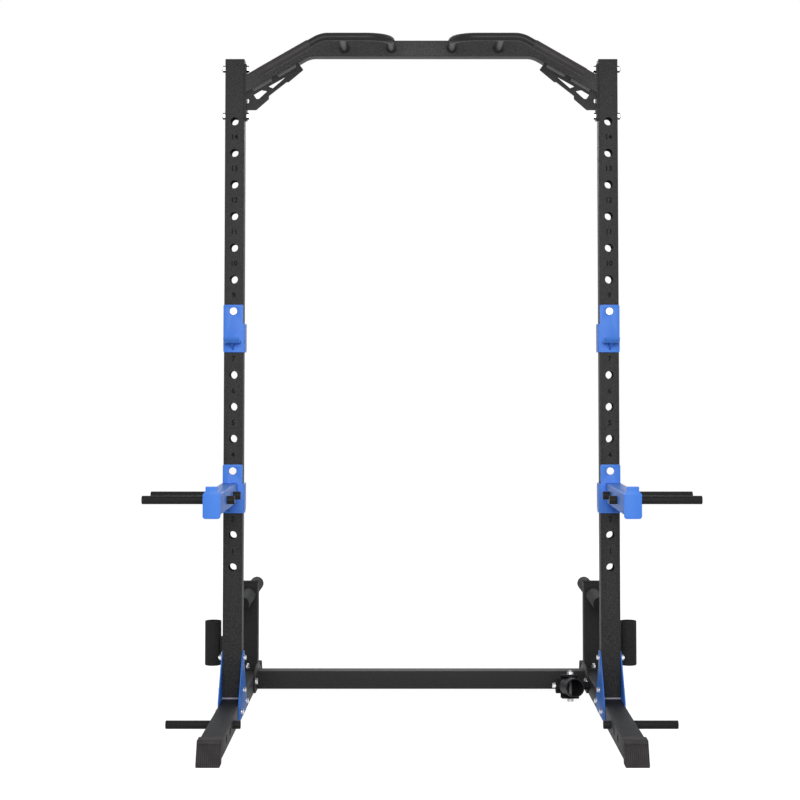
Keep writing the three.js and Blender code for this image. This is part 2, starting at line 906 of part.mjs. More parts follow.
function archGussetSolid() {

	const upper = archNotchShares.flatMap( ( [ from, to ] ) => {

		const near = from * archGussetLength;
		const far = to * archGussetLength;
		return [
			archPoint( near, jointGap ),
			archPoint( near + archNotchChamfer, archNotchDepth ),
			archPoint( far - archNotchChamfer, archNotchDepth ),
			archPoint( far, jointGap )
		];

	} );
	const waist = archWaistShare * archGussetLength;
	const hip = archHipShare * archGussetLength;
	const [ , footZ ] = archPoint( 0, archGussetFootDepth );
	const footX = archPoint( 0, archGussetFootDepth )[ 0 ];
	const outline = polygon( THREE.Shape, [
		archPoint( 0, jointGap ),
		...upper,
		archPoint( archGussetLength - archGussetInset, jointGap ),
		archPoint( archGussetLength, archGussetEndDepth ),
		archPoint( waist, archGussetWaistDepth + archGussetInset ),
		archPoint( waist - archStepLength, archGussetWaistDepth ),
		archPoint( hip + archStepLength, archGussetHipDepth - archNotchDepth ),
		archPoint( hip, archGussetHipDepth ),
		[ footX, footZ ],
		[ crossbarEndX - jointGap, footZ ]
	] );
	for ( const shares of [ archTriangleShares, archQuadShares ] ) {

		const window = shares.map( ( [ along, below ] ) => {

			return archPoint( along * archGussetLength, below * archGussetWaistDepth );

		} );
		outline.holes.push( polygon( THREE.Path, window ) );

	}

	return frontPlate( outline, archGussetThickness, archGussetThickness + archGussetInset, 1 );

}

// Pull-up handles

function handleSolid() {

	const endZ = crossbarAxisZ - ( handleOuterX - handleBendX ) * Math.tan( crossbarSlope );
	const path = new BentPath(
		[
			at( handleInnerX, 0, crossbarAxisZ ),
			at( handleInnerX, - handleReach, crossbarAxisZ ),
			at( handleBendX, - handleReach, crossbarAxisZ ),
			at( handleOuterX, - handleReach, endZ )
		],
		[ handleReturnRadius, handleDropRadius ],
		[ handleReturnSteps, handleDropSteps ]
	);
	const section = new THREE.Shape();
	section.absarc( 0, 0, handleDiameter / 2, 0, 2 * Math.PI, false );
	const bar = sweep( section, path, handleSegments / 2 );
	const stubStart = at( handleStubX, - handleReach, crossbarAxisZ );
	const stub = cutterBar( handleDiameter, handleReach, handleSegments, 'y', stubStart );
	return bar.add( stub );

}

// The rubber sleeve over the sloped end of a handle, closed at its outer end
function gripSolid() {

	const inner = handleDiameter / 2 + jointGap;
	const outer = gripDiameter / 2;
	const profile = [
		[ 0, - gripEndWall - jointGap ],
		[ outer - gripEndChamfer, - gripEndWall - jointGap ],
		[ outer, gripEndChamfer - gripEndWall - jointGap ],
		[ outer, gripLength - gripEndChamfer ],
		[ outer - gripEndChamfer / 2, gripLength ],
		[ inner, gripLength ],
		[ inner, - jointGap ],
		[ 0, - jointGap ]
	].map( ( [ radius, height ] ) => new THREE.Vector2( radius, height ) );
	const sleeve = new THREE.LatheGeometry( profile, gripSegments );
	sleeve.rotateZ( Math.PI / 2 - crossbarSlope );
	sleeve.rotateX( Math.PI / 2 );
	const endZ = crossbarAxisZ - ( handleOuterX - handleBendX ) * Math.tan( crossbarSlope );
	sleeve.translate( handleOuterX, - handleReach, endZ );
	return toSolid( sleeve );

}

// Brackets that hang on a pin in an upright hole

const bracketOuterX = uprightX + bracketWidth / 2 + runningGap;
const bracketInnerX = innerFaceX - runningGap;
const bracketFlangeX = bracketInnerX - flangePlateThickness;
const bracketBackY = - jointGap;
const bracketFaceY = bracketBackY - bracketThickness;

// The front plate: narrow beside the pin, wider below, where the side flange meets it
function bracketPlateSolid( pinZ, belowPin ) {

	const top = pinZ + bracketPinAboveTop;
	const bottom = pinZ - belowPin;
	const step = pinZ - bracketStepBelowPin;
	const radius = bracketCornerRadius;
	const outline = new THREE.Shape();
	outline.moveTo( bracketOuterX, bottom + radius );
	outline.lineTo( bracketOuterX, top - radius );
	outline.absarc( bracketOuterX - radius, top - radius, radius, 0, Math.PI / 2, false );
	outline.lineTo( bracketInnerX + radius, top );
	outline.absarc( bracketInnerX + radius, top - radius, radius, Math.PI / 2, Math.PI, false );
	outline.lineTo( bracketInnerX, step );
	outline.lineTo( bracketFlangeX, step );
	outline.lineTo( bracketFlangeX, bottom );
	outline.lineTo( bracketOuterX - radius, bottom );
	outline.absarc( bracketOuterX - radius, bottom + radius, radius, - Math.PI / 2, 0, false );
	outline.closePath();
	const plate = frontPlate( outline, bracketThickness, bracketBackY, cornerSegments );
	const start = at( uprightX, bracketFaceY - cutOverrun, pinZ );
	const width = ( pinDiameter + 2 * jointGap ) / Math.cos( Math.PI / holeSegments );
	return plate.subtract( cutterBar( width, bracketThickness + 2 * cutOverrun, holeSegments, 'y', start ) );

}

function bracketFlangeSolid( pinZ, belowPin, chamfer ) {

	const step = pinZ - bracketStepBelowPin;
	const bottom = pinZ - belowPin;
	const outline = polygon( THREE.Shape, [
		[ bracketFaceY, bottom ],
		[ flangeReach - chamfer, bottom ],
		[ flangeReach, bottom + chamfer ],
		[ flangeReach, step - bracketCornerRadius ],
		[ flangeReach - bracketCornerRadius, step ],
		[ bracketFaceY, step ]
	] );
	return sidePlate( outline, flangePlateThickness, bracketFlangeX, 1 );

}

function pinSolid( pinZ ) {

	return roundBar( pinDiameter, pinLength, holeSegments, pinChamfer, 'y', at( uprightX, bracketFaceY, pinZ ) );

}

// A triangular rib below a shelf, standing out from the bracket's front plate
function ribSolid( x, thickness, topZ, height, reach ) {

	const outline = polygon( THREE.Shape, [
		[ bracketFaceY, topZ ],
		[ bracketFaceY - reach, topZ ],
		[ bracketFaceY, topZ - height ]
	] );
	return sidePlate( outline, thickness, x - thickness / 2, 1 );

}

function hookSolid() {

	const pinZ = holeHeight( hookHole );
	const shelfZ = pinZ - saddleDrop;
	const saddleX = uprightX + saddleOffset;
	const tipY = bracketFaceY - saddleDepth;
	const lipRun = saddleLip * Math.SQRT1_2;
	const lipWall = saddleThickness * Math.SQRT1_2;
	const bendShift = saddleThickness * Math.tan( Math.PI / 8 );
	const outline = polygon( THREE.Shape, [
		[ bracketFaceY, shelfZ + saddleThickness ],
		[ tipY + bendShift, shelfZ + saddleThickness ],
		[ tipY - lipRun + lipWall, shelfZ + lipRun + lipWall ],
		[ tipY - lipRun, shelfZ + lipRun ],
		[ tipY, shelfZ ],
		[ bracketFaceY, shelfZ ]
	] );
	return joinSolids( [
		bracketPlateSolid( pinZ, hookBelowPin ),
		bracketFlangeSolid( pinZ, hookBelowPin, bracketCornerRadius ),
		sidePlate( outline, saddleWidth, saddleX - saddleWidth / 2, 1 ),
		ribSolid( saddleX, hookRibThickness, shelfZ + saddleThickness / 2, hookRibDepth, hookRibReach )
	] );

}

// The spotter arm

const armPinZ = holeHeight( armHole );
const armTopZ = armPinZ - armTubeTopDrop;
const armAxisZ = armTopZ - armTubeHeight / 2;
const armAxisX = uprightX + armTubeOffset;
const armEndY = bracketFaceY - armTubeLength;
const armPegPlaces = [ bracketFaceY - armPegFirstY, bracketFaceY - armPegFirstY - armPegSpacing ];

// The end stop: a plate wider than the tube's height, with a narrower tab on top
function armEndPlateSolid() {

	const half = armTubeWidth / 2 + runningGap;
	const tabHalf = armEndTabWidth / 2;
	const top = armTopZ + armEndTopRise;
	const bottom = armTopZ - armTubeHeight - armEndBottomDrop;
	const shoulder = armTopZ;
	const radius = armEndCornerRadius;
	const tabRadius = radius / 2;
	const outline = new THREE.Shape();
	outline.moveTo( armAxisX + half, bottom + radius );
	outline.lineTo( armAxisX + half, shoulder );
	outline.lineTo( armAxisX + tabHalf, shoulder + armEndTabShoulder );
	outline.lineTo( armAxisX + tabHalf, top - tabRadius );
	outline.absarc( armAxisX + tabHalf - tabRadius, top - tabRadius, tabRadius, 0, Math.PI / 2, false );
	outline.lineTo( armAxisX - tabHalf + tabRadius, top );
	outline.absarc( armAxisX - tabHalf + tabRadius, top - tabRadius, tabRadius, Math.PI / 2, Math.PI, false );
	outline.lineTo( armAxisX - tabHalf, shoulder + armEndTabShoulder );
	outline.lineTo( armAxisX - half, shoulder );
	outline.lineTo( armAxisX - half, bottom + radius );
	outline.absarc( armAxisX - half + radius, bottom + radius, radius, Math.PI, Math.PI * 1.5, false );
	outline.lineTo( armAxisX + half - radius, bottom );
	outline.absarc( armAxisX + half - radius, bottom + radius, radius, - Math.PI / 2, 0, false );
	outline.closePath();
	return frontPlate( outline, armEndThickness, armEndY, cornerSegments );

}

function armSolid() {

	const start = at( armAxisX, armEndY, armAxisZ );
	const tube = boxTube( armTubeWidth, armTubeHeight, armTubeWall, armTubeLength, 'y', start );
	const pegHole = armPegDiameter + 2 * jointGap;
	const holeStartX = armAxisX - armTubeWidth / 2 - cutOverrun;
	const holes = armPegPlaces.map( ( y ) => {

		const holeStart = at( holeStartX, y, armAxisZ );
		return cutterBar( pegHole, armTubeWidth + 2 * cutOverrun, holeSegments, 'x', holeStart );

	} );
	const ribTop = armTopZ - armTubeHeight + armTubeWall / 2;
	return joinSolids( [
		bracketPlateSolid( armPinZ, armBelowPin ),
		bracketFlangeSolid( armPinZ, armBelowPin, armFlangeChamfer ),
		cutSolids( tube, holes ),
		armEndPlateSolid(),
		ribSolid( armAxisX, armRibThickness, ribTop, armRibHeight, armRibReach )
	] );

}

function armPegSolid( y ) {

	const start = at( armAxisX - armTubeWidth / 2 - armPegInset, y, armAxisZ );
	const length = armPegInset + armTubeWidth + armPegReach;
	return roundBar( armPegDiameter, length, holeSegments, pegChamfer, 'x', start );

}

// Through bolts of the crossbar flanges: head inside, washer and nut outside

function hexagonCorner( acrossFlats ) {

	return acrossFlats / 2 / Math.cos( Math.PI / hexagonSides );

}

function hexPrism( acrossFlats, height, x, y, z ) {

	const corner = hexagonCorner( acrossFlats );
	const prism = new THREE.CylinderGeometry( corner, corner, height, hexagonSides );
	prism.rotateZ( Math.PI / 2 );
	prism.translate( x + height / 2, y, z );
	return toSolid( prism );

}

function flangeBoltSolid( height ) {

	const y = uprightAxisY;
	const outside = outerFaceX;
	const inside = crossbarEndX;
	const shankStart = inside - boltHeadHeight / 2;
	const shankEnd = outside + washerThickness + boltNutHeight + boltTipLength;
	const shankLength = shankEnd - shankStart;
	const shank = cutterBar( boltDiameter, shankLength, boltSegments, 'x', at( shankStart, y, height ) );
	const washerStart = at( outside, y, height );
	const washer = cutterBar( washerDiameter, washerThickness, washerSegments, 'x', washerStart );
	const head = hexPrism( boltHeadAcrossFlats, boltHeadHeight, inside - boltHeadHeight, y, height );
	const nut = hexPrism( boltHeadAcrossFlats, boltNutHeight, outside + washerThickness, y, height );
	return joinSolids( [ shank, washer, head, nut ] );

}

// Landmine swivel. Its pieces are drawn about the axle, level, and the group tilts them as they rest

const swivelSpacerX = innerFaceX - swivelSpacerLength;
const swivelBarrelX = swivelSpacerX - swivelBarrelLength;
const swivelMiddleX = swivelBarrelX + swivelBarrelLength / 2;
const yokeHalf = yokeInnerHeight / 2;

// The axle bolt runs through the base tube to a nut on the outer face
function swivelAxleSolid() {

	const headStart = swivelBarrelX - swivelHeadLength;
	const headWidth = swivelHeadDiameter;
	const head = roundBar( headWidth, swivelHeadLength, boltSegments, pinChamfer, 'x', at( headStart, 0, 0 ) );
	const shankStart = swivelBarrelX - swivelHeadLength / 2;
	const shankEnd = outerFaceX + boltNutHeight + boltTipLength;
	const shankLength = shankEnd - shankStart;
	const shank = cutterBar( swivelAxleDiameter, shankLength, boltSegments, 'x', at( shankStart, 0, 0 ) );
	const nut = hexPrism( boltHeadAcrossFlats + boltTipLength, boltNutHeight, outerFaceX, 0, 0 );
	return joinSolids( [ head, shank, nut ] );

}

function swivelAxleHole() {

	const start = at( innerFaceX - cutOverrun, swivelAxleY, swivelAxleZ );
	const width = swivelAxleDiameter + 2 * jointGap;
	return cutterBar( width, tubeSide + 2 * cutOverrun, boltSegments, 'x', start );

}

function swivelYokeSolid() {

	const boreRadiusGap = 2 * runningGap;
	const barrelStart = at( swivelBarrelX + jointGap, 0, 0 );
	const barrelLength = swivelBarrelLength - jointGap;
	const barrel = cutterBar( swivelBarrelDiameter, barrelLength, swivelSegments, 'x', barrelStart );
	const spacerStart = at( swivelSpacerX - cutOverrun, 0, 0 );
	const spacerLength = swivelSpacerLength + cutOverrun - jointGap;
	const spacer = cutterBar( swivelSpacerDiameter, spacerLength, swivelSegments, 'x', spacerStart );
	const boreStart = at( swivelBarrelX - cutOverrun, 0, 0 );
	const boreLength = swivelBarrelLength + swivelSpacerLength + 2 * cutOverrun;
	const bore = cutterBar( swivelAxleDiameter + boreRadiusGap, boreLength, boltSegments, 'x', boreStart );
	const left = swivelMiddleX - yokeWidth / 2;
	const right = swivelMiddleX + yokeWidth / 2;
	const tip = - yokeReach - yokeNose;
	const backRear = yokeWeldDepth - swivelBarrelDiameter / 2;
	const outer = yokeHalf + yokePlate;
	const tab = polygon( THREE.Shape, [
		[ left, backRear ],
		[ left, tip + yokeEndChamfer ],
		[ left + yokeEndChamfer, tip ],
		[ right - yokeEndChamfer, tip ],
		[ right, tip + yokeEndChamfer ],
		[ right, backRear ]
	] );
	const tabs = [ - outer, yokeHalf ].map( ( z ) => {

		const plate = new THREE.ExtrudeGeometry( tab, { depth: yokePlate, bevelEnabled: false } );
		plate.translate( 0, 0, z );
		return toSolid( plate );

	} );
	const back = block( left, right, backRear - yokePlate, backRear, - outer, outer );
	const holeStart = at( swivelMiddleX, - yokeReach, - outer - cutOverrun );
	const holeWidth = kingBoltDiameter + 2 * jointGap;
	const hole = cutterBar( holeWidth, 2 * ( outer + cutOverrun ), boltSegments, 'z', holeStart );
	return joinSolids( [ barrel, spacer, back, ...tabs ] ).subtract( bore ).subtract( hole );

}

// The swivel rests on the floor by the rear edge of the king bolt's nut, which sets its tilt
function restingTilt() {

	const forward = yokeReach - kingBoltHeadWidth / 2;
	const below = yokeHalf + yokePlate + kingBoltNutHeight;
	const drop = swivelAxleZ - jointGap;
	return Math.atan2( below, forward ) - Math.asin( drop / Math.hypot( forward, below ) );

}

function kingBoltSolid() {

	const outer = yokeHalf + yokePlate;
	const corner = hexagonCorner( kingBoltHeadWidth );
	const top = outer + kingBoltHeadHeight / 2;
	const shankStart = at( swivelMiddleX, - yokeReach, - outer - kingBoltNutHeight / 2 );
	const shankLength = top + outer + kingBoltNutHeight / 2;
	const shank = cutterBar( kingBoltDiameter, shankLength, boltSegments, 'z', shankStart );
	const places = [ [ outer, kingBoltHeadHeight ], [ - outer - kingBoltNutHeight, kingBoltNutHeight ] ];
	const ends = places.map( ( [ z, height ] ) => {

		const prism = new THREE.CylinderGeometry( corner, corner, height, hexagonSides );
		prism.rotateY( Math.PI / hexagonSides );
		prism.rotateX( Math.PI / 2 );
		prism.translate( swivelMiddleX, - yokeReach, z + height / 2 );
		return toSolid( prism );

	} );
	return joinSolids( [ shank, ...ends ] );

}

// The sleeve is drawn about the king bolt
function sleeveSolid() {

	const start = at( 0, - sleeveFront, 0 );
	const sleeve = roundTube( sleeveDiameter, sleeveWall, sleeveFront + sleeveRear, swivelSegments, 'y', start );
	const holeStart = at( 0, 0, - sleeveDiameter );
	const holeWidth = kingBoltDiameter + 2 * runningGap;
	const hole = cutterBar( holeWidth, 2 * sleeveDiameter, boltSegments, 'z', holeStart );
	return sleeve.subtract( hole );

}

// Assembly

addPair( 'upright', uprightSolid(), finishes.frame );
addPair( 'upright_cap', tubeCapSolid( uprightX, uprightAxisY, uprightTopZ ), finishes.plastic );
addPiece( 'base_tube_left', baseTubeSolid().mirror( [ 1, 0, 0 ] ), finishes.frame );
addPiece( 'base_tube_right', baseTubeSolid().subtract( swivelAxleHole() ), finishes.frame );
addPair( 'front_boot', bootSolid( false ), finishes.rubber );
addPair( 'rear_boot', bootSolid( true ), finishes.rubber );
addPair( 'base_gusset_inner', baseGussetSolid( innerFaceX - gussetThickness ), finishes.blue );
addPair( 'base_gusset_outer', baseGussetSolid( outerFaceX ), finishes.blue );
addPair( 'rear_post', rearPostSolid(), finishes.frame );
addPair( 'rear_post_cap', tubeCapSolid( uprightX, postAxisY, postTopZ ), finishes.plastic );
const hornStart = at( uprightX, hornFrontY, hornAxisZ );
const hornSolid = roundTube( hornDiameter, hornWall, hornLength, hornSegments, 'y', hornStart );
addPair( 'storage_horn', hornSolid, finishes.peg );
addPair( 'horn_cap_front', hornCapSolid( - 1 ), finishes.plastic );
addPair( 'horn_cap_rear', hornCapSolid( 1 ), finishes.plastic );
addPair( 'bar_holder', barHolderSolid(), finishes.frame );
addPiece( 'crossmember', crossmemberSolid(), finishes.frame );
addPiece( 'top_crossbar', crossbarSolid(), finishes.frame );
addPair( 'crossbar_flange', crossbarFlangeSolid(), finishes.frame );
addPair( 'crossbar_gusset', archGussetSolid(), finishes.frame );
addPair( 'flange_bolt_upper', flangeBoltSolid( flangeBoltHeights[ 0 ] ), finishes.zinc );
addPair( 'flange_bolt_lower', flangeBoltSolid( flangeBoltHeights[ 1 ] ), finishes.zinc );
addPair( 'pull_up_handle', handleSolid(), finishes.frame );
addPair( 'handle_grip', gripSolid(), finishes.rubber );

const basePegStart = at( innerFaceX - basePegInset, basePegY, baseAxisZ );
const basePegLength = basePegInset + tubeSide + basePegReach;
const basePeg = roundBar( basePegDiameter, basePegLength, holeSegments, pegChamfer, 'x', basePegStart );
addPair( 'base_peg', basePeg, finishes.peg );

addPair( 'j_hook', hookSolid(), finishes.blue );
addPair( 'j_hook_pin', pinSolid( holeHeight( hookHole ) ), finishes.steel );
addPair( 'spotter_arm', armSolid(), finishes.blue );
addPair( 'spotter_arm_pin', pinSolid( armPinZ ), finishes.steel );
addPair( 'arm_peg_rear', armPegSolid( armPegPlaces[ 0 ] ), finishes.peg );
addPair( 'arm_peg_front', armPegSolid( armPegPlaces[ 1 ] ), finishes.peg );

const swivel = new THREE.Group();
swivel.position.set( 0, swivelAxleY, swivelAxleZ );
swivel.rotation.x = - restingTilt();
halfRack.add( swivel );
const swivelAxle = addPiece( 'landmine_axle', swivelAxleSolid(), finishes.zinc );
swivelAxle.position.set( 0, swivelAxleY, swivelAxleZ );
addPiece( 'landmine_yoke', swivelYokeSolid(), finishes.frame, swivel );
addPiece( 'landmine_bolt', kingBoltSolid(), finishes.zinc, swivel );
const kingPivot = new THREE.Group();
kingPivot.position.set( swivelMiddleX, - yokeReach, 0 );
kingPivot.rotation.z = THREE.MathUtils.degToRad( sleeveRestDegrees );
swivel.add( kingPivot );
addPiece( 'landmine_sleeve', sleeveSolid(), finishes.peg, kingPivot );

// The origin sits on the floor, under the middle of the rack's overall length
const frontEnd = - ( baseFrontReach + bootFrontWall + bootFaceLean );
const rearEnd = hornFrontY + hornLength + hornCapThickness;
halfRack.position.y = - ( frontEnd + rearEnd ) / 2;

export default halfRack;
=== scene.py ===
"""A half rack in black and blue powder coat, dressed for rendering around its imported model.

Sizes are in millimetres from the rack's own datum: X = 0 in the middle of the rack, Y = 0 at the front face
of the uprights, and Z = 0 on the floor. Side.RIGHT is +X. Every mesh is written for the right side and
mirrored.
"""

import logging
import math
from dataclasses import dataclass, field
from enum import Enum, auto
from typing import Any, Sequence, Union

import bmesh
import bpy
from mathutils import Matrix, Vector

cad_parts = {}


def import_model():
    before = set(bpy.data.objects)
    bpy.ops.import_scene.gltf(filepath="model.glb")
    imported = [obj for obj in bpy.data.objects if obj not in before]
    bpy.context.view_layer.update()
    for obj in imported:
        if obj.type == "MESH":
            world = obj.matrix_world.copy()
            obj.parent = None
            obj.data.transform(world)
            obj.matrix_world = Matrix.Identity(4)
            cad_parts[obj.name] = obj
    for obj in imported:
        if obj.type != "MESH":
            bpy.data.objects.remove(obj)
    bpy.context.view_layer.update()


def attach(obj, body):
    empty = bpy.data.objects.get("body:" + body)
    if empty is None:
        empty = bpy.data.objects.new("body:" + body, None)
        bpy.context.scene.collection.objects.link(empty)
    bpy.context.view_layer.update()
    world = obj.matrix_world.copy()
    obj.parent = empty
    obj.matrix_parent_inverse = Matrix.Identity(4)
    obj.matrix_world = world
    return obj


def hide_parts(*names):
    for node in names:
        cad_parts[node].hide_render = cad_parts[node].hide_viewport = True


LOG = logging.getLogger("half_rack")

Point2 = tuple[float, float]
Corner = tuple[float, float, float]
Colour = tuple[float, float, float]
Outline = list[Point2]
Mesh = bpy.types.Mesh
Socket = bpy.types.NodeSocket
Part = Union[Mesh, tuple[Mesh, Matrix]]

MILLIMETRE = 0.001
DATUM_SHIFT_Y = -113.5
DOUBLED = 1e-3
SMOOTH_ANGLE = math.radians(32.0)


class Side(Enum):
    """The two sides of the rack; the value is the sign of X."""

    LEFT = -1
    RIGHT = 1

    @property
    def suffix(self) -> str:
        """The ending that names of pieces on this side carry."""
        return self.name.lower()


class Direction(Enum):
    """The way that a part made along +Z runs; the value says where its X, Y and Z axes go."""

    OUT = ((0, 1, 0), (0, 0, 1), (1, 0, 0))
    IN = ((0, -1, 0), (0, 0, 1), (-1, 0, 0))
    BACK = ((0, 0, 1), (1, 0, 0), (0, 1, 0))
    FRONT = ((1, 0, 0), (0, 0, 1), (0, -1, 0))
    UP = ((1, 0, 0), (0, 1, 0), (0, 0, 1))
    DOWN = ((1, 0, 0), (0, -1, 0), (0, 0, -1))

    def at(self, x: float, y: float, z: float) -> Matrix:
        """Places a part that starts at a point and runs in this direction."""
        return Matrix.Translation((x, y, z)) @ Matrix(self.value).transposed().to_4x4()


# Finishes


class ShaderNodes:
    """Short ways to lay out the nodes of a material or of the world."""

    def __init__(self, tree: bpy.types.NodeTree) -> None:
        """Takes the tree that the nodes go into."""
        self.tree = tree

    def fill(self, node: bpy.types.Node, inputs: dict[str | int, Any]) -> None:
        """Sets a node's inputs.

        Args:
            node: The node.
            inputs: A value or a socket for each input, by name or number.
        """
        for key, value in inputs.items():
            if isinstance(value, Socket):
                self.tree.links.new(value, node.inputs[key])
            else:
                node.inputs[key].default_value = value

    def add(self, kind: str, inputs: dict[str | int, Any] | None = None, **settings: str) -> bpy.types.Node:
        """Adds a node.

        Args:
            kind: The type's name after "ShaderNode".
            inputs: A value or a socket for some inputs, by name or number.
            settings: The node's own settings, made before its inputs.

        Returns:
            The node.
        """
        node = self.tree.nodes.new("ShaderNode" + kind)
        for key, value in settings.items():
            setattr(node, key, value)
        self.fill(node, inputs or {})
        return node

    def noise(self, place: Socket, scale: float, detail: float) -> Socket:
        """Adds noise with so many features per metre and so many octaves."""
        return self.add("TexNoise", {"Vector": place, "Scale": scale, "Detail": detail}).outputs["Fac"]

    def ramp(self, value: Socket, low: tuple[float, Colour], high: tuple[float, Colour]) -> Socket:
        """Maps a value to colours.

        Args:
            value: The socket to map.
            low: The position and colour of the first stop.
            high: The same for the second.

        Returns:
            The colour.
        """
        node = self.add("ValToRGB", {"Fac": value})
        for element, (position, colour) in zip(node.color_ramp.elements, (low, high)):
            element.position = position
            element.color = (*colour, 1.0)
        return node.outputs["Color"]

    def mix(self, kind: str, colour: Socket, other: Socket, share: float) -> Socket:
        """Lays a share of a second colour over the first, in the named way."""
        inputs = {"Factor": share, "A": colour, "B": other}
        return self.add("Mix", inputs, data_type="RGBA", blend_type=kind).outputs["Result"]

    def stretch(self, value: Socket, low: float, high: float) -> Socket:
        """Stretches the middle of a noise value over a range."""
        limits = {"Value": value, "From Min": 0.3, "From Max": 0.7, "To Min": low, "To Max": high}
        return self.add("MapRange", limits).outputs["Result"]

    def levelness(self) -> Socket:
        """Gives 0 where the surface stands upright and 1 where it lies level; it places the painted shade on
        bare metal.
        """
        parts = self.add("SeparateXYZ", {"Vector": self.add("NewGeometry").outputs["Normal"]})
        return self.add("Math", {0: parts.outputs["Z"]}, operation="ABSOLUTE").outputs["Value"]

    def larger(self, first: Socket, second: Socket) -> Socket:
        """Gives the larger of two values."""
        return self.add("Math", {0: first, 1: second}, operation="MAXIMUM").outputs["Value"]


def scaled(colour: Colour, share: float, lift: float = 0.0) -> Colour:
    """Scales a colour, and lifts all its channels by the same amount."""
    return tuple(channel * share + lift for channel in colour)


@dataclass(frozen=True)
class Finish:
    """What every finish has: a colour, a fine grain that moves gloss and relief, and the record's slot."""

    name: str
    slot: str
    colour: Colour
    roughness: float
    specular: float
    relief: float
    grain: float
    detail: float
    spread: tuple[float, float]
    depth: float
    metallic: float = 0.0

    def colouring(self, nodes: ShaderNodes, place: Socket, grain: Socket) -> Socket:
        """Gives the colour, from the place on the piece and the grain there."""
        raise NotImplementedError

    def material(self) -> bpy.types.Material:
        """Builds the node material, or finds it again.

        Returns:
            The material.
        """
        known = bpy.data.materials.get(self.name)
        if known:
            return known
        material = bpy.data.materials.new(self.name)
        material.use_nodes = True
        nodes = ShaderNodes(material.node_tree)
        place = nodes.add("TexCoord").outputs["Object"]
        grain = nodes.noise(place, self.grain, self.detail)
        less, more = self.spread
        bump = nodes.add("Bump", {"Height": grain, "Strength": self.relief, "Distance": self.depth})
        nodes.fill(material.node_tree.nodes["Principled BSDF"], {
            "Base Color": self.colouring(nodes, place, grain),
            "Roughness": nodes.stretch(grain, self.roughness - less, self.roughness + more),
            "Specular IOR Level": self.specular,
            "Metallic": self.metallic,
            "Normal": bump.outputs["Normal"],
        })
        return material


@dataclass(frozen=True)
class PowderCoat(Finish):
    """Textured powder coat: a fine orange-peel skin with pin-prick sparkle."""

    specular: float = 0.2
    relief: float = 0.12
    grain: float = 420.0
    detail: float = 3.0
    spread: tuple[float, float] = (0.07, 0.09)
    depth: float = 0.0004
    speckle: float = 0.25

    def colouring(self, nodes: ShaderNodes, place: Socket, grain: Socket) -> Socket:
        """Gives light and dark specks, with a slow drift over the piece.

        Args:
            nodes: The material's nodes.
            place: The place on the piece.
            grain: The grain at that place.

        Returns:
            The colour.
        """
        dark = scaled(self.colour, 1.0 - 0.55 * self.speckle)
        light = scaled(self.colour, 1.0 + 2.2 * self.speckle, 0.01 * self.speckle)
        specks = nodes.ramp(grain, (0.35, dark), (0.68, light))
        return nodes.mix("OVERLAY", specks, nodes.noise(place, 9.0, 2.0), 0.08)


@dataclass(frozen=True)
class Moulding(Finish):
    """Moulded plastic or rubber with a faint leathery mould grain."""

    specular: float = 0.4
    relief: float = 0.1
    grain: float = 1400.0
    detail: float = 2.0
    spread: tuple[float, float] = (0.06, 0.08)
    depth: float = 0.0003

    def colouring(self, nodes: ShaderNodes, place: Socket, grain: Socket) -> Socket:
        """Gives soft clouds of a lighter and a darker shade."""
        cloud = nodes.noise(place, 30.0, 3.0)
        return nodes.ramp(cloud, (0.3, scaled(self.colour, 0.85)), (0.75, scaled(self.colour, 1.12)))


@dataclass(frozen=True)
class BareMetal(Finish):
    """Plated or polished steel with fine machining streaks, and painted shade on faces that face up or down,
    standing in for the darker reflections there.
    """

    specular: float = 0.5
    relief: float = 0.05
    grain: float = 600.0
    detail: float = 4.0
    spread: tuple[float, float] = (0.06, 0.1)
    depth: float = 0.0002
    metallic: float = 1.0
    # The share of the colour that the painted shade leaves on level faces; 1 paints no shade.
    level_share: float = 1.0

    def colouring(self, nodes: ShaderNodes, place: Socket, grain: Socket) -> Socket:
        """Gives faint patches, with painted shade on faces that face up or down, by the painted shade share.

        Args:
            nodes: The material's nodes.
            place: The place on the piece.
            grain: The grain at that place; not used.

        Returns:
            The colour.
        """
        patch = nodes.noise(place, 60.0, 2.0)
        colour = nodes.ramp(patch, (0.3, scaled(self.colour, 0.9)), (0.7, self.colour))
        if self.level_share < 1.0:
            # Painted shade: faces that face up or down are darkened, standing in for the dark reflections of
            # floor and ceiling.
            painted_shade_mask = nodes.ramp(nodes.levelness(), (0.35, (1.0,) * 3), (0.80, (self.level_share,) * 3))
            colour = nodes.mix("MULTIPLY", colour, painted_shade_mask, 1.0)
        return colour


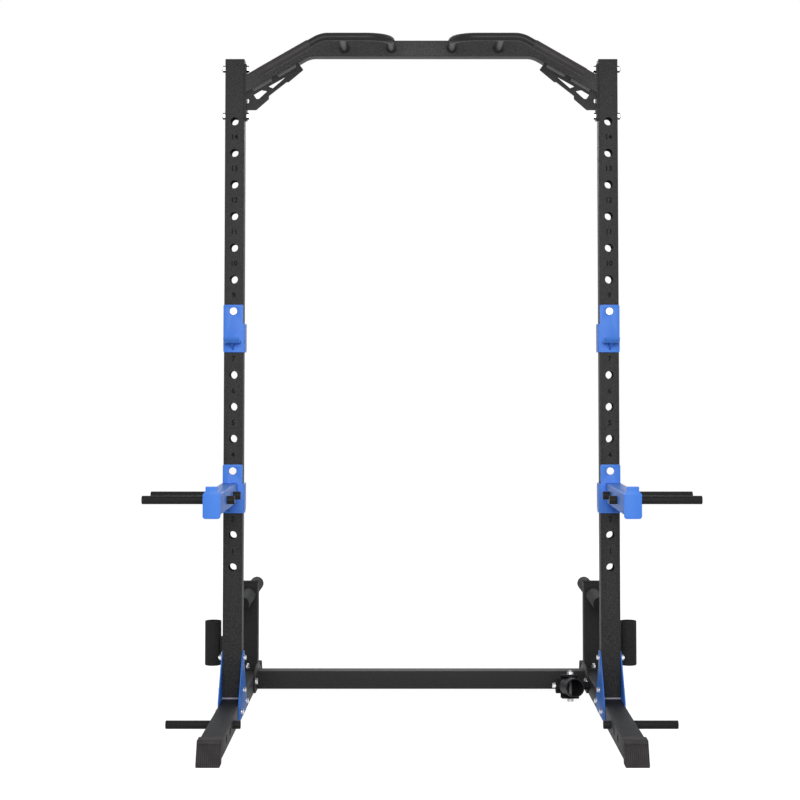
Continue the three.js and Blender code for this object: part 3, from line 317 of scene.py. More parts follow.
class Finishes(Enum):
    """Every finish on the rack."""

    BLACK_FRAME = PowderCoat(
        "black_powder_coat", "black_frame", (0.0222, 0.0219, 0.0225), 0.58, speckle=0.6, specular=0.13)
    BLACK_BAR = PowderCoat(
        "black_textured_coat", "black_frame", (0.0215, 0.0205, 0.0208), 0.55, speckle=0.75, grain=330.0)
    # Black base coat whose blue lean is a painted reflection of the blue gusset plates on the base tube; the
    # swivel sleeve shares it.
    BLACK_BASE = PowderCoat(
        "black_base_coat_blue_sheen", "black_frame", (0.0180, 0.0184, 0.0208), 0.52, speckle=0.4, specular=0.06)
    BLACK_CAST = PowderCoat(
        "black_matt_coat", "black_frame", (0.0180, 0.0178, 0.0178), 0.8, speckle=0.3, specular=0.03)
    BLACK_POST = PowderCoat(
        "black_post_coat", "black_frame", (0.0290, 0.0287, 0.0287), 0.62, speckle=0.4, specular=0.05)
    BLACK_HORN = PowderCoat(
        "black_horn_coat", "black_peg", (0.0285, 0.0292, 0.0312), 0.68,
        speckle=0.15, relief=0.03, specular=0.04)
    BLUE_PAINT = PowderCoat(
        "blue_powder_coat", "blue_paint", (0.066, 0.228, 0.77), 0.42, speckle=0.06, relief=0.06)
    BLUE_PLATE = PowderCoat(
        "blue_plate_coat", "blue_paint", (0.056, 0.205, 0.69), 0.42, speckle=0.04, relief=0.02, specular=0.02)
    BLACK_PEG = PowderCoat(
        "black_peg_enamel", "black_peg", (0.020, 0.0195, 0.0198), 0.45,
        speckle=0.15, relief=0.05, specular=0.06)
    BLACK_HANDLE = PowderCoat(
        "black_handle_enamel", "black_peg", (0.0195, 0.0188, 0.0190), 0.4,
        speckle=0.12, relief=0.03, specular=0.14)
    BLACK_CAP = Moulding("black_cap_plastic", "black_cap", (0.0275, 0.0270, 0.0270), 0.88, specular=0.02)
    BOOT = Moulding("black_boot_rubber", "black_rubber", (0.059, 0.055, 0.056), 0.78, specular=0.1)
    GRIP = Moulding(
        "black_grip_rubber", "black_rubber", (0.046, 0.043, 0.0435), 0.5, relief=0.15, specular=0.15)
    # The bolt finishes carry painted shade on faces that face up or down.
    ZINC = BareMetal("zinc_plate", "zinc_bolt", (0.45, 0.45, 0.47), 0.32, level_share=0.15)
    BRIGHT_ZINC = BareMetal("bright_zinc_plate", "zinc_bolt", (0.80, 0.80, 0.82), 0.3, level_share=0.4)
    DULL_ZINC = Moulding("dull_zinc", "zinc_bolt", (0.26, 0.25, 0.25), 0.6, specular=0.2)
    # Pale lavender grey of the packing plates: a painted reflection, the bright strip along each upright's
    # foot.
    SHIM = Moulding("packing_plate_painted_glint", "zinc_bolt", (0.33, 0.32, 0.39), 0.5)
    POLISHED = BareMetal("polished_pin_steel", "bright_pin", (0.54, 0.52, 0.53), 0.48, relief=0.01)
    NUMBER = Moulding("number_ink", "black_frame", (0.004, 0.004, 0.004), 0.85, specular=0.1)


# Outlines and meshes


def fillet(corners: Sequence[Corner], steps: int = 5) -> Outline:
    """Rounds the corners of a closed outline.

    Args:
        corners: Points with the radius of each corner; 0 leaves it sharp.
        steps: Straight steps in each rounded corner.

    Returns:
        The rounded outline.
    """
    outline: Outline = []
    for i, (a, b, radius) in enumerate(corners):
        here = Vector((a, b))
        if radius <= 0:
            outline.append((a, b))
            continue
        to_last = (Vector(corners[i - 1][:2]) - here).normalized()
        to_next = (Vector(corners[(i + 1) % len(corners)][:2]) - here).normalized()
        half = to_last.angle(to_next) / 2
        run = radius / math.tan(half)
        centre = here + (to_last + to_next).normalized() * (radius / math.sin(half))
        start = here + to_last * run - centre
        turn = start.angle_signed(here + to_next * run - centre)
        for step in range(steps + 1):
            outline.append(tuple(centre + Matrix.Rotation(-turn * step / steps, 2) @ start))
    return outline


def rectangle(width: float, height: float, radius: float) -> Outline:
    """Outlines a rounded rectangle centred on the origin."""
    a, b = width / 2, height / 2
    return fillet([(-a, -b, radius), (a, -b, radius), (a, b, radius), (-a, b, radius)])


def circle(radius: float, segments: int, centre: Point2 = (0.0, 0.0)) -> Outline:
    """Outlines a circle."""
    turns = [2 * math.pi * i / segments for i in range(segments)]
    return [(centre[0] + radius * math.cos(turn), centre[1] + radius * math.sin(turn)) for turn in turns]


def on_show(name: str, data: bpy.types.ID) -> bpy.types.Object:
    """Makes an object of some data and links it to the scene.

    Args:
        name: The object's name.
        data: What the object shows.

    Returns:
        The object.
    """
    obj = bpy.data.objects.new(name, data)
    bpy.context.scene.collection.objects.link(obj)
    return obj


def read_mesh(obj: bpy.types.Object) -> Mesh:
    """Copies an object's final mesh under its name and removes the object.

    Args:
        obj: The object, with its modifiers.

    Returns:
        The mesh.
    """
    graph = bpy.context.evaluated_depsgraph_get()
    mesh = bpy.data.meshes.new_from_object(obj.evaluated_get(graph))
    mesh.name = obj.name
    bpy.data.objects.remove(obj)
    return mesh


def moved(mesh: Mesh, matrix: Matrix) -> Mesh:
    """Moves a mesh, with its faces kept outwards, and returns it.

    Args:
        mesh: The mesh.
        matrix: The move, which may mirror it.

    Returns:
        The mesh.
    """
    mesh.transform(matrix)
    if matrix.determinant() < 0:
        mesh.flip_normals()
    return mesh


def closed(work: bmesh.types.BMesh, mesh: Mesh) -> Mesh:
    """Joins doubled points, turns all faces outwards and ends the work.

    Args:
        work: The mesh in the making.
        mesh: The mesh that it is put into.

    Returns:
        The same mesh.
    """
    bmesh.ops.remove_doubles(work, verts=work.verts, dist=DOUBLED)
    bmesh.ops.recalc_face_normals(work, faces=work.faces)
    work.to_mesh(mesh)
    work.free()
    return mesh


def plate(
    name: str, outline: Outline, windows: Sequence[Outline], thickness: float, edge: float = 0.5,
) -> Mesh:
    """Cuts a flat plate, or a long hollow section, with softly rounded edges.

    Args:
        name: The mesh's name.
        outline: The outer outline.
        windows: Outlines of the openings in it.
        thickness: The plate's thickness, or the section's length.
        edge: The radius of the edges.

    Returns:
        A mesh from Z = 0 to Z = thickness.
    """
    curve = bpy.data.curves.new(name, "CURVE")
    curve.dimensions = "2D"
    curve.fill_mode = "BOTH"
    for loop in (outline, *windows):
        spline = curve.splines.new("POLY")
        spline.points.add(len(loop) - 1)
        spline.use_cyclic_u = True
        for point, (a, b) in zip(spline.points, loop):
            point.co = (a, b, 0.0, 1.0)
    curve.extrude = thickness / 2 - edge
    curve.bevel_depth = edge
    curve.bevel_resolution = 1
    curve.offset = -edge
    mesh = moved(read_mesh(on_show(name, curve)), Matrix.Translation((0.0, 0.0, thickness / 2)))
    bpy.data.curves.remove(curve)
    work = bmesh.new()
    work.from_mesh(mesh)
    return closed(work, mesh)


def hollow(
    name: str, width: float, height: float, wall: float, length: float,
    corner: float = 2.0, bore_corner: float = 1.0, edge: float = 0.4,
) -> Mesh:
    """Cuts a length of rectangular tube, from Z = 0 to Z = length."""
    bore = rectangle(width - 2 * wall, height - 2 * wall, bore_corner)
    return plate(name, rectangle(width, height, corner), [bore], length, edge)


class Ends(Enum):
    """What happens at the first and the last ring of a skin."""

    OPEN = auto()
    CAPPED = auto()
    JOINED = auto()


def skinned(name: str, rings: Sequence[Sequence[Sequence[float]]], ends: Ends = Ends.OPEN) -> Mesh:
    """Skins a row of rings.

    Args:
        name: The mesh's name.
        rings: Rings of equally many points; a ring of a single point closes the skin.
        ends: What happens at the first and the last ring.

    Returns:
        The mesh.
    """
    work = bmesh.new()
    loops = [[work.verts.new(point) for point in ring] for ring in rings]
    if ends is Ends.CAPPED:
        work.faces.new(loops[0][::-1])
        work.faces.new(loops[-1])
    followers = loops[1:] + (loops[:1] if ends is Ends.JOINED else [])
    for one, two in zip(loops, followers):
        count = max(len(one), len(two))
        for i in range(count):
            j = (i + 1) % count
            corners = (one[i % len(one)], one[j % len(one)], two[j % len(two)], two[i % len(two)])
            work.faces.new(tuple(dict.fromkeys(corners)))
    return closed(work, bpy.data.meshes.new(name))


def turned(name: str, profile: Sequence[Point2], segments: int = 40) -> Mesh:
    """Turns a profile about the Z axis, as on a lathe.

    Args:
        name: The mesh's name.
        profile: Pairs of radius and height, from the start of the skin to its end; a radius of 0 closes it.
        segments: Steps round the axis.

    Returns:
        The mesh.
    """
    rings = []
    for radius, height in profile:
        ring = circle(radius, segments) if radius > 0 else [(0.0, 0.0)]
        rings.append([(a, b, height) for a, b in ring])
    return skinned(name, rings)


def rod(name: str, radius: float, length: float, edge: float = 1.5, segments: int = 40) -> Mesh:
    """Turns a solid bar with rounded ends, from Z = 0 to Z = length.

    Args:
        name: The mesh's name.
        radius: The bar's radius.
        length: Its length.
        edge: The radius of its edges.
        segments: Steps round it.

    Returns:
        The mesh.
    """
    bends = [math.pi / 2 * i / 3 for i in range(4)]
    foot = [(radius - edge - 0.3, 0.0)]
    foot += [(radius - edge + edge * math.sin(bend), edge - edge * math.cos(bend)) for bend in bends]
    head = [(reach, length - height) for reach, height in reversed(foot)]
    return turned(name, [(0.0, 0.0), *foot, *head, (0.0, length)], segments)


@dataclass
class BentLine:
    """Straight legs between corners, with a round bend at each inner corner."""

    corners: list[Vector]
    radii: list[float]
    steps: int = 12

    def stations(self) -> list[tuple[Vector, Vector, Vector]]:
        """Gives each station's centre, tangent and flat normal.

        Returns:
            The stations, from one end to the other. The normal is carried along without twist.
        """
        first, last = self.corners[1] - self.corners[0], self.corners[-1] - self.corners[-2]
        ways = [(self.corners[0], first.normalized())]
        for i, radius in enumerate(self.radii):
            before, corner, after = self.corners[i : i + 3]
            enter, leave = (corner - before).normalized(), (after - corner).normalized()
            turn = enter.angle(leave)
            inward = (leave - enter * math.cos(turn)).normalized()
            centre = corner - enter * (radius * math.tan(turn / 2)) + inward * radius
            for step in range(self.steps + 1):
                sine, cosine = math.sin(turn * step / self.steps), math.cos(turn * step / self.steps)
                point = centre - inward * radius * cosine + enter * radius * sine
                ways.append((point, enter * cosine + inward * sine))
        ways.append((self.corners[-1], last.normalized()))
        tangent = ways[0][1]
        flat = Vector((0.0, 1.0, 0.0)) if abs(tangent.y) < 0.5 else Vector((1.0, 0.0, 0.0))
        result = []
        for point, way in ways:
            flat = tangent.rotation_difference(way) @ flat
            flat = (flat - way * flat.dot(way)).normalized()
            result.append((point, way, flat))
            tangent = way
        return result


def swept(name: str, section: Outline, line: BentLine) -> Mesh:
    """Carries a section along a bent line and covers its ends.

    Args:
        name: The mesh's name.
        section: The section; its first axis lies along the line's flat normal, its second square to it.
        line: The line to follow.

    Returns:
        The mesh.
    """
    rings = []
    for centre, tangent, flat in line.stations():
        rise = tangent.cross(flat).normalized()
        rings.append([centre + flat * a + rise * b for a, b in section])
    return skinned(name, rings, Ends.CAPPED)


def hexagon_head(name: str, across: float, height: float) -> Mesh:
    """Makes a bolt head or nut with the round chamfer that a turned hexagon has.

    Args:
        name: The mesh's name.
        across: The size across flats.
        height: The head's height.

    Returns:
        A mesh from Z = 0 to Z = height.
    """
    foot, edge, rim = [], [], []
    for a, b in circle(1.0, 36):
        inside = (math.atan2(b, a) + math.pi / 6) % (math.pi / 3) - math.pi / 6
        radius = across / 2 / math.cos(inside)
        drop = 0.4 + (radius - across / 2) * 0.6
        foot.append((a * radius, b * radius, 0.0))
        edge.append((a * radius, b * radius, height - drop))
        rim.append((a * across * 0.47, b * across * 0.47, height))
    return skinned(name, [foot, edge, rim], Ends.CAPPED)


def joined(name: str, parts: Sequence[Part]) -> Mesh:
    """Puts several meshes into one.

    Args:
        name: The new mesh's name.
        parts: Meshes, or pairs of a mesh and its placement.

    Returns:
        The joined mesh.
    """
    work = bmesh.new()
    for part in parts:
        mesh, matrix = part if isinstance(part, tuple) else (part, Matrix.Identity(4))
        copy = moved(mesh.copy(), matrix)
        work.from_mesh(copy)
        bpy.data.meshes.remove(copy)
    result = bpy.data.meshes.new(name)
    work.to_mesh(result)
    work.free()
    return result


class Tool(Enum):
    """What one closed mesh does to another."""

    CUT = "DIFFERENCE"
    ADD = "UNION"

    def work(self, mesh: Mesh, other: Mesh) -> Mesh:
        """Cuts a mesh out of another, or adds it.

        Args:
            mesh: The mesh that is worked on.
            other: The mesh that is cut out of it or added to it.

        Returns:
            The result.
        """
        body, tool = on_show(mesh.name, mesh), on_show("tool", other)
        step = body.modifiers.new("step", "BOOLEAN")
        step.operation = self.value
        step.solver = "EXACT"
        step.object = tool
        result = read_mesh(body)
        bpy.data.objects.remove(tool)
        return result


def flared_drill(radius: float, length: float, lead: float = 1.0, segments: int = 32) -> Mesh:
    """Makes a cutter for a hole whose rims are lightly chamfered.

    Args:
        radius: The hole's radius.
        length: The width of the body that it goes through.
        lead: The chamfer's size.
        segments: Steps round the hole.

    Returns:
        A cutter along Z, whose body lies from Z = 0 to Z = length.
    """
    out = radius + 2 * lead
    foot = [(0.0, -lead), (out, -lead), (radius, lead)]
    return turned("drill", [*foot, *((reach, length - height) for reach, height in reversed(foot))], segments)


def drilled(mesh: Mesh, drill: Mesh, spots: Sequence[Matrix]) -> Mesh:
    """Drills a mesh at each of several places."""
    return Tool.CUT.work(mesh, joined("drills", [(drill, spot) for spot in spots]))


def side_plane(x: float) -> Matrix:
    """Places an outline of Y and Z pairs, its thickness running outwards from x."""
    return Direction.OUT.at(x, 0.0, 0.0)


def front_plane(y: float) -> Matrix:
    """Places an outline of X and Z pairs, its thickness running forwards from y."""
    return Direction.FRONT.at(0.0, y, 0.0)


def lifted(height: float) -> Matrix:
    """Raises a part."""
    return Matrix.Translation((0.0, 0.0, height))


def bolt(across: float, head: float, washer: float, tip: float = 0.0) -> Mesh:
    """Makes the visible end of a bolt: a washer, a head or nut, and a domed tip.

    Args:
        across: The hexagon's size across flats.
        head: The hexagon's height.
        washer: The washer's radius.
        tip: How far the threaded tip stands out of a nut; 0 for a head.

    Returns:
        A mesh that stands on Z = 0.
    """
    disc = 1.8
    parts = [rod("washer", washer, disc, 0.5, 28), (hexagon_head("hexagon", across, head), lifted(disc))]
    if tip:
        parts.append((rod("stud", across * 0.3, tip + 1.0, 0.9, 20), lifted(disc + head - 1.0)))
    else:
        dome = [(across * 0.4, 0.0), (across * 0.36, 0.35), (across * 0.2, 0.8), (0.0, 0.95)]
        parts.append((turned("dome", dome, 24), lifted(disc + head - 0.1)))
    return joined("bolt", parts)


# Placing pieces


@dataclass
class Workshop:
    """Puts finished meshes on the rack and keeps count of them."""

    made: list[str] = field(default_factory=list)

    def place(
        self, name: str, mesh: Mesh, finish: Finishes, body: str,
        stands_for: str | None = None, side: Side = Side.RIGHT,
    ) -> None:
        """Puts a mesh, written in rack millimetres for the right side, on the rack.

        Args:
            name: The piece's name.
            mesh: The mesh.
            finish: What it is made of.
            body: The body that carries it.
            stands_for: The node of the model that it replaces, if any.
            side: The side it goes on.
        """
        scale = Matrix.Diagonal((side.value * MILLIMETRE, MILLIMETRE, MILLIMETRE, 1.0))
        copy = moved(mesh.copy(), scale @ Matrix.Translation((0.0, DATUM_SHIFT_Y, 0.0)))
        copy.name = name
        copy.materials.clear()
        copy.materials.append(finish.value.material())
        copy.shade_smooth()
        copy.set_sharp_from_angle(angle=SMOOTH_ANGLE)
        piece = on_show(name, copy)
        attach(piece, body)
        if stands_for:
            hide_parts(stands_for)
        self.made.append(name)
        LOG.info("%s: %d faces, rides on %s", name, len(copy.polygons), body)

    def pair(
        self, name: str, mesh: Mesh, finish: Finishes, stands_for: str | None = None, body: str = "frame",
    ) -> None:
        """Puts a mesh on both sides.

        Args:
            name: The pieces' name, without the side.
            mesh: The mesh for the right side.
            finish: What they are made of.
            stands_for: The node that they replace, without the side.
            body: The body that carries them; its name gets the side unless it is the frame.
        """
        for side in Side:
            carrier = body if body == "frame" else f"{body}_{side.suffix}"
            node = f"{stands_for}_{side.suffix}" if stands_for else None
            self.place(f"{name}_{side.suffix}", mesh, finish, carrier, node, side)


# Sub-assemblies


@dataclass(kw_only=True)
class Assembly:
    """Sizes of the square tube and its place, which the sub-assemblies share."""

    centre: float = 590.0
    tube: float = 60.0
    wall: float = 2.5
    corner: float = 2.0
    cap: float = 2.0
    plug: float = 14.0

    @property
    def inner(self) -> float:
        """The inner side of the right tube, in X."""
        return self.centre - self.tube / 2

    @property
    def outer(self) -> float:
        """The outer side of the right tube, in X."""
        return self.centre + self.tube / 2

    def cap_mesh(self) -> Mesh:
        """Makes a tube's moulded end cap: a lid with a soft edge, on a plug.

        Returns:
            The mesh.
        """
        lid = plate("lid", rectangle(self.tube, self.tube, self.corner), [], self.cap, 0.7)
        side = self.tube - 2 * self.wall - 0.8
        plug = plate("plug", rectangle(side, side, 2.0), [], self.plug, 0.4)
        return joined("cap", [lid, (plug, lifted(0.2 - self.plug))])

    def build(self, shop: Workshop) -> None:
        """Puts the sub-assembly on the rack."""
        raise NotImplementedError


@dataclass(kw_only=True)
class Uprights(Assembly):
    """The two numbered uprights with their end caps and the pale packing plates below them, whose colour
    paints the bright reflection along each upright's foot.
    """

    foot: float = 71.0
    shim: float = 5.0
    length: float = 1998.0
    first_hole: float = 473.0
    pitch: float = 100.0
    holes: int = 15
    hole: float = 25.0
    number_height: float = 16.0
    cap_height_share: float = 0.7
    ink: float = 0.06
    stroke: float = 0.35

    def tube_mesh(self) -> Mesh:
        """Makes the tube and drills the row of holes through it.

        Returns:
            The mesh.
        """
        tube = hollow("upright", self.tube, self.tube, self.wall, self.length)
        moved(tube, Direction.UP.at(self.centre, self.tube / 2, self.foot))
        rows = [self.first_hole + self.pitch * i for i in range(self.holes)]
        drill = flared_drill(self.hole / 2, self.tube, 0.7)
        return drilled(tube, drill, [Direction.BACK.at(self.centre, 0.0, row) for row in rows])

    def number_mesh(self, number: int) -> Mesh:
        """Makes one plain number, upright in the XZ plane and centred on the origin.

        Args:
            number: The number to write.

        Returns:
            The mesh, a thin film that faces forwards.
        """
        text = bpy.data.curves.new(f"number_{number}", "FONT")
        text.body = str(number)
        text.size = self.number_height / self.cap_height_share
        text.align_x = "CENTER"
        text.align_y = "CENTER"
        text.extrude = self.ink
        text.offset = self.stroke
        mesh = read_mesh(on_show(text.name, text))
        bpy.data.curves.remove(text)
        return moved(mesh, Direction.FRONT.at(0.0, 0.0, 0.0))

    def build(self, shop: Workshop) -> None:
        """Puts the uprights, their caps, packing and numbers on the rack.

        Args:
            shop: Where the pieces are put on the rack.
        """
        shop.pair("upright_tube", self.tube_mesh(), Finishes.BLACK_FRAME, "upright")
        cap = moved(self.cap_mesh(), Direction.UP.at(self.centre, self.tube / 2, self.foot + self.length))
        shop.pair("upright_end_cap", cap, Finishes.BLACK_CAP, "upright_cap")
        # The packing plate is pale to paint the bright reflection along the upright's foot.
        shim = plate("shim", rectangle(self.tube, self.tube, 1.0), [], self.shim, 0.4)
        moved(shim, Direction.UP.at(self.centre, self.tube / 2, self.foot - self.shim))
        shop.pair("upright_packing_painted_glint", shim, Finishes.SHIM)
        for side in Side:
            labels = []
            for number in range(1, self.holes):
                height = self.first_hole + self.pitch * (number - 0.5)
                spot = Matrix.Translation((self.centre * side.value, -0.05, height))
                labels.append((self.number_mesh(number), spot))
            film = moved(joined("numbers", labels), Matrix.Diagonal((side.value, 1.0, 1.0, 1.0)))
            shop.place(f"upright_numbers_{side.suffix}", film, Finishes.NUMBER, "frame", None, side)


@dataclass(kw_only=True)
class Base(Assembly):
    """The base tubes, their boots, the gusset plates and the bolts through them."""

    front: float = -630.0
    rear: float = 722.0
    clearance: float = 6.0
    peg_rows: tuple[float, ...] = (-247.0, -347.0, -447.0)
    peg_hole: float = 25.6
    boot_wall: float = 3.4
    boot_height: float = 70.0
    boot_top: float = 54.0
    boot_lean: float = 35.0
    boot_nose: float = 8.0
    boot_edge: float = 5.0
    boot_pocket: float = 120.0
    boot_ribs: int = 12
    groove: float = 1.3
    groove_depth: float = 2.2
    groove_start: float = -60.0
    groove_end: float = 27.5
    pit: float = 1.55
    pit_depth: float = 2.8
    pit_span: Point2 = (21.0, 29.0)
    gusset: float = 3.5
    gusset_bolts: tuple[Point2, ...] = ((30.0, 190.0), (30.0, 90.0), (-50.0, 38.0), (118.0, 40.0))
    peg: float = 25.0
    peg_start: float = 539.0
    peg_end: float = 762.0

    @property
    def axis(self) -> float:
        """The height of the tube's centre line."""
        return self.clearance + self.tube / 2

    def tube_mesh(self) -> Mesh:
        """Makes the base tube with its three peg holes.

        Returns:
            The mesh.
        """
        tube = hollow("base_tube", self.tube, self.tube, self.wall, self.rear - self.front)
        moved(tube, Direction.BACK.at(self.centre, self.front, self.axis))
        drill = flared_drill(self.peg_hole / 2, self.tube, 0.6)
        return drilled(tube, drill, [Direction.OUT.at(self.inner, row, self.axis) for row in self.peg_rows])

    def rib_mesh(self) -> Mesh:
        """Makes the cutter of one groove of a boot, with the deeper pit at its top.

        Returns:
            The mesh.
        """
        low, high = self.pit_span
        foot, end = self.groove_start, self.groove_end
        groove = turned("groove", [(0.0, foot), (self.groove, foot), (self.groove, end), (0.0, end)], 12)
        pit = turned("pit", [(0.0, low), (self.pit, low), (self.pit, high), (0.0, high)], 12)
        moved(groove, Matrix.Diagonal((1.0, self.groove_depth, 1.0, 1.0)))
        return Tool.ADD.work(groove, moved(pit, Matrix.Diagonal((1.0, self.pit_depth, 1.0, 1.0))))

    def boot_mesh(self) -> Mesh:
        """Makes the front boot: a leaning block with a ribbed face, hollowed for the tube.

        Returns:
            The mesh.
        """
        half = self.tube / 2 + self.boot_wall
        top = self.front - self.boot_nose
        foot = top - self.boot_lean
        corners = [
            (foot, 0.0), (foot + self.boot_top, 0.0),
            (top + self.boot_top, self.boot_height), (top, self.boot_height),
        ]
        outline = fillet([(*corner, self.boot_edge) for corner in corners])
        body = moved(plate("boot", outline, [], 2 * half, 2.4), side_plane(self.centre - half))
        room = rectangle(self.tube + 0.6, self.tube + 0.6, self.corner)
        pocket = plate("pocket", room, [], self.boot_pocket, 0.1)
        body = drilled(body, pocket, [Direction.BACK.at(self.centre, self.front - 0.3, self.axis)])
        lean = Matrix.Rotation(-math.atan2(self.boot_lean, self.boot_height), 4, "X")
        spots = []
        for i in range(self.boot_ribs):
            x = self.centre - half + 2 * half / self.boot_ribs * (i + 0.5)
            spots.append(Matrix.Translation((x, (top + foot) / 2, self.boot_height / 2)) @ lean)
        return drilled(body, self.rib_mesh(), spots)

    def gusset_outline(self) -> Outline:
        """Outlines a gusset plate as pairs of Y and Z.

        Returns:
            The outline.
        """
        return fillet([
            (-100.0, 18.0, 2.0), (-94.0, 12.0, 2.0), (128.0, 12.0, 3.0), (140.0, 24.0, 3.0),
            (140.0, 55.0, 3.0), (63.5, 165.0, 14.0), (60.0, 199.0, 5.0), (48.0, 211.0, 5.0),
            (12.0, 211.0, 5.0), (0.0, 199.0, 5.0), (-100.0, 72.0, 4.0),
        ])

    def build(self, shop: Workshop) -> None:
        """Puts the base on the rack.

        Args:
            shop: Where the pieces are put on the rack.
        """
        shop.pair("base_runner", self.tube_mesh(), Finishes.BLACK_BASE, "base_tube")
        boot = self.boot_mesh()
        shop.pair("front_boot_ribbed", boot, Finishes.BOOT, "front_boot")
        mirror = Matrix.Diagonal((1.0, -1.0, 1.0, 1.0))
        spot = Matrix.Translation((0.0, self.front + self.rear, 0.0)) @ mirror
        shop.pair("rear_boot_ribbed", joined("rear_boot", [(boot, spot)]), Finishes.BOOT, "rear_boot")
        for name, x in (("inner", self.inner - self.gusset), ("outer", self.outer)):
            mesh = moved(plate(f"gusset_{name}", self.gusset_outline(), [], self.gusset), side_plane(x))
            shop.pair(f"foot_gusset_{name}", mesh, Finishes.BLUE_PLATE, f"base_gusset_{name}")
        for name, way, x, end in (
            ("gusset_inner_nuts", Direction.IN, self.inner - self.gusset, bolt(14.0, 6.2, 8.0)),
            ("gusset_outer_heads", Direction.OUT, self.outer + self.gusset, bolt(15.0, 7.0, 10.0, 3.0)),
        ):
            ends = joined(name, [(end, way.at(x, y, z)) for y, z in self.gusset_bolts])
            shop.pair(name, ends, Finishes.BRIGHT_ZINC)
        peg = rod("peg", self.peg / 2, self.peg_end - self.peg_start)
        moved(peg, Direction.OUT.at(self.peg_start, self.peg_rows[0], self.axis))
        shop.pair("band_peg", peg, Finishes.BLACK_PEG, "base_peg")


@dataclass(kw_only=True)
class Storage(Assembly):
    """The rear posts with plate horns, the bar holders and the lower crossmember."""

    post_front: float = 575.0
    floor: float = 66.0
    foot_plate: float = 6.0
    foot_reach: float = 40.0
    foot_bolt: float = 50.0
    post_top: float = 357.0
    horn: float = 48.0
    horn_wall: float = 3.0
    horn_front: float = 315.0
    horn_length: float = 580.0
    horn_axis: float = 318.0
    horn_cap: float = 5.0
    holder: float = 56.0
    holder_x: float = 715.0
    holder_foot: float = 74.0
    holder_height: float = 151.0
    drain: float = 10.0
    stub: float = 50.0
    stub_axis: float = 145.0
    member_front: float = 499.0
    member_axis: float = 40.0
    flange: float = 6.0
    bolts: Point2 = (430.0, 628.0)
    bolt_row: float = 48.0

    @property
    def post_axis(self) -> float:
        """The post's centre line, in Y."""
        return self.post_front + self.tube / 2

    def post_mesh(self) -> Mesh:
        """Makes the post on its foot plate, drilled for the horn.

        Returns:
            The mesh.
        """
        foot = self.floor + self.foot_plate
        post = hollow("post", self.tube, self.tube, self.wall, self.post_top - foot, bore_corner=2.0)
        moved(post, Direction.UP.at(self.centre, self.post_axis, foot))
        drill = flared_drill(self.horn / 2 + 0.3, self.tube, 0.5, 40)
        post = drilled(post, drill, [Direction.BACK.at(self.centre, self.post_front, self.horn_axis)])
        outline = rectangle(self.tube, self.tube + 2 * self.foot_reach, 3.0)
        base = plate("foot_plate", outline, [], self.foot_plate)
        return joined("rear_post", [post, (base, Direction.UP.at(self.centre, self.post_axis, self.floor))])

    def horn_mesh(self) -> Mesh:
        """Makes the horn's tube.

        Returns:
            The mesh.
        """
        outer, inner, length, edge = self.horn / 2, self.horn / 2 - self.horn_wall, self.horn_length, 0.5
        profile = [
            (inner, 0.0), (outer - edge, 0.0), (outer, edge), (outer, length - edge), (outer - edge, length),
            (inner, length), (inner, 0.0),
        ]
        spot = Direction.BACK.at(self.centre, self.horn_front, self.horn_axis)
        return moved(turned("horn", profile, 48), spot)

    def horn_cap_mesh(self) -> Mesh:
        """Makes a horn's plug cap, which stands on Z = 0 with its plug below.

        Returns:
            The mesh.
        """
        outer, plug, top = self.horn / 2, self.horn / 2 - self.horn_wall - 0.3, self.horn_cap
        profile = [
            (0.0, -self.plug), (plug - 1.0, -self.plug), (plug, 1.0 - self.plug), (plug, 0.0), (outer, 0.0),
            (outer, top - 2.4), (outer - 0.6, top - 1.0), (outer - 2.2, top), (outer - 8.0, top), (0.0, top),
        ]
        return turned("horn_cap", profile, 48)

    def holder_mesh(self) -> Mesh:
        """Makes the bar holder: a cup with a drained floor, and its stub.

        Returns:
            The mesh.
        """
        outer, inner, top = self.holder / 2, self.holder / 2 - self.wall, self.holder_height
        profile = [
            (self.drain, 0.0), (outer - 3.0, 0.0), (outer - 0.9, 0.9), (outer, 3.0), (outer, top - 0.8),
            (outer - 0.8, top), (inner + 0.6, top), (inner, top - 0.8), (inner, 4.0), (self.drain, 4.0),
        ]
        cup = turned("cup", [*profile, profile[0]], 48)
        run = self.holder_x - outer + 1.2 - self.outer
        stub = hollow("stub", self.stub, self.stub, self.wall, run, 3.0, 1.5, 0.3)
        return joined("holder", [
            (cup, Direction.UP.at(self.holder_x, self.post_axis, self.holder_foot)),
            (stub, Direction.OUT.at(self.outer, self.post_axis, self.stub_axis)),
        ])

    def member_mesh(self) -> Mesh:
        """Makes the crossmember with the flange at each end.

        Returns:
            The mesh.
        """
        reach = self.inner - self.flange
        middle = self.member_front + self.tube / 2
        corners = [(90.0, 6.0, 3.0), (114.0, 30.0, 4.0), (114.0, 64.0, 4.0), (48.0, 88.0, 6.0)]
        outline = [(middle + run, height, radius) for run, height, radius in corners]
        outline += [(middle - run, height, radius) for run, height, radius in reversed(corners)]
        vent = circle(12.0, 24, (middle, self.member_axis))
        flange = plate("flange", fillet(outline), [vent], self.flange, 0.6)
        tube = hollow("member", self.tube, self.tube, self.wall, 2 * reach, bore_corner=2.0, edge=0.3)
        return joined("crossmember", [
            (tube, Direction.OUT.at(-reach, middle, self.member_axis)),
            (flange, side_plane(reach)),
            (flange, side_plane(-self.inner)),
        ])

    def bolt_mesh(self) -> Mesh:
        """Makes the bolt ends on one side's flange and foot plate.

        Returns:
            The mesh.
        """
        head, nut, stud = bolt(18.0, 6.5, 10.0), bolt(18.0, 9.0, 11.0, 4.0), bolt(13.0, 8.0, 7.5, 6.0)
        parts: list[Part] = []
        for y in self.bolts:
            parts.append((head, Direction.IN.at(self.inner - self.flange, y, self.bolt_row)))
            parts.append((nut, Direction.OUT.at(self.outer, y, self.bolt_row)))
        for y in (self.post_axis - self.foot_bolt, self.post_axis + self.foot_bolt):
            parts.append((stud, Direction.UP.at(self.centre, y, self.floor + self.foot_plate)))
        return joined("frame_bolts", parts)

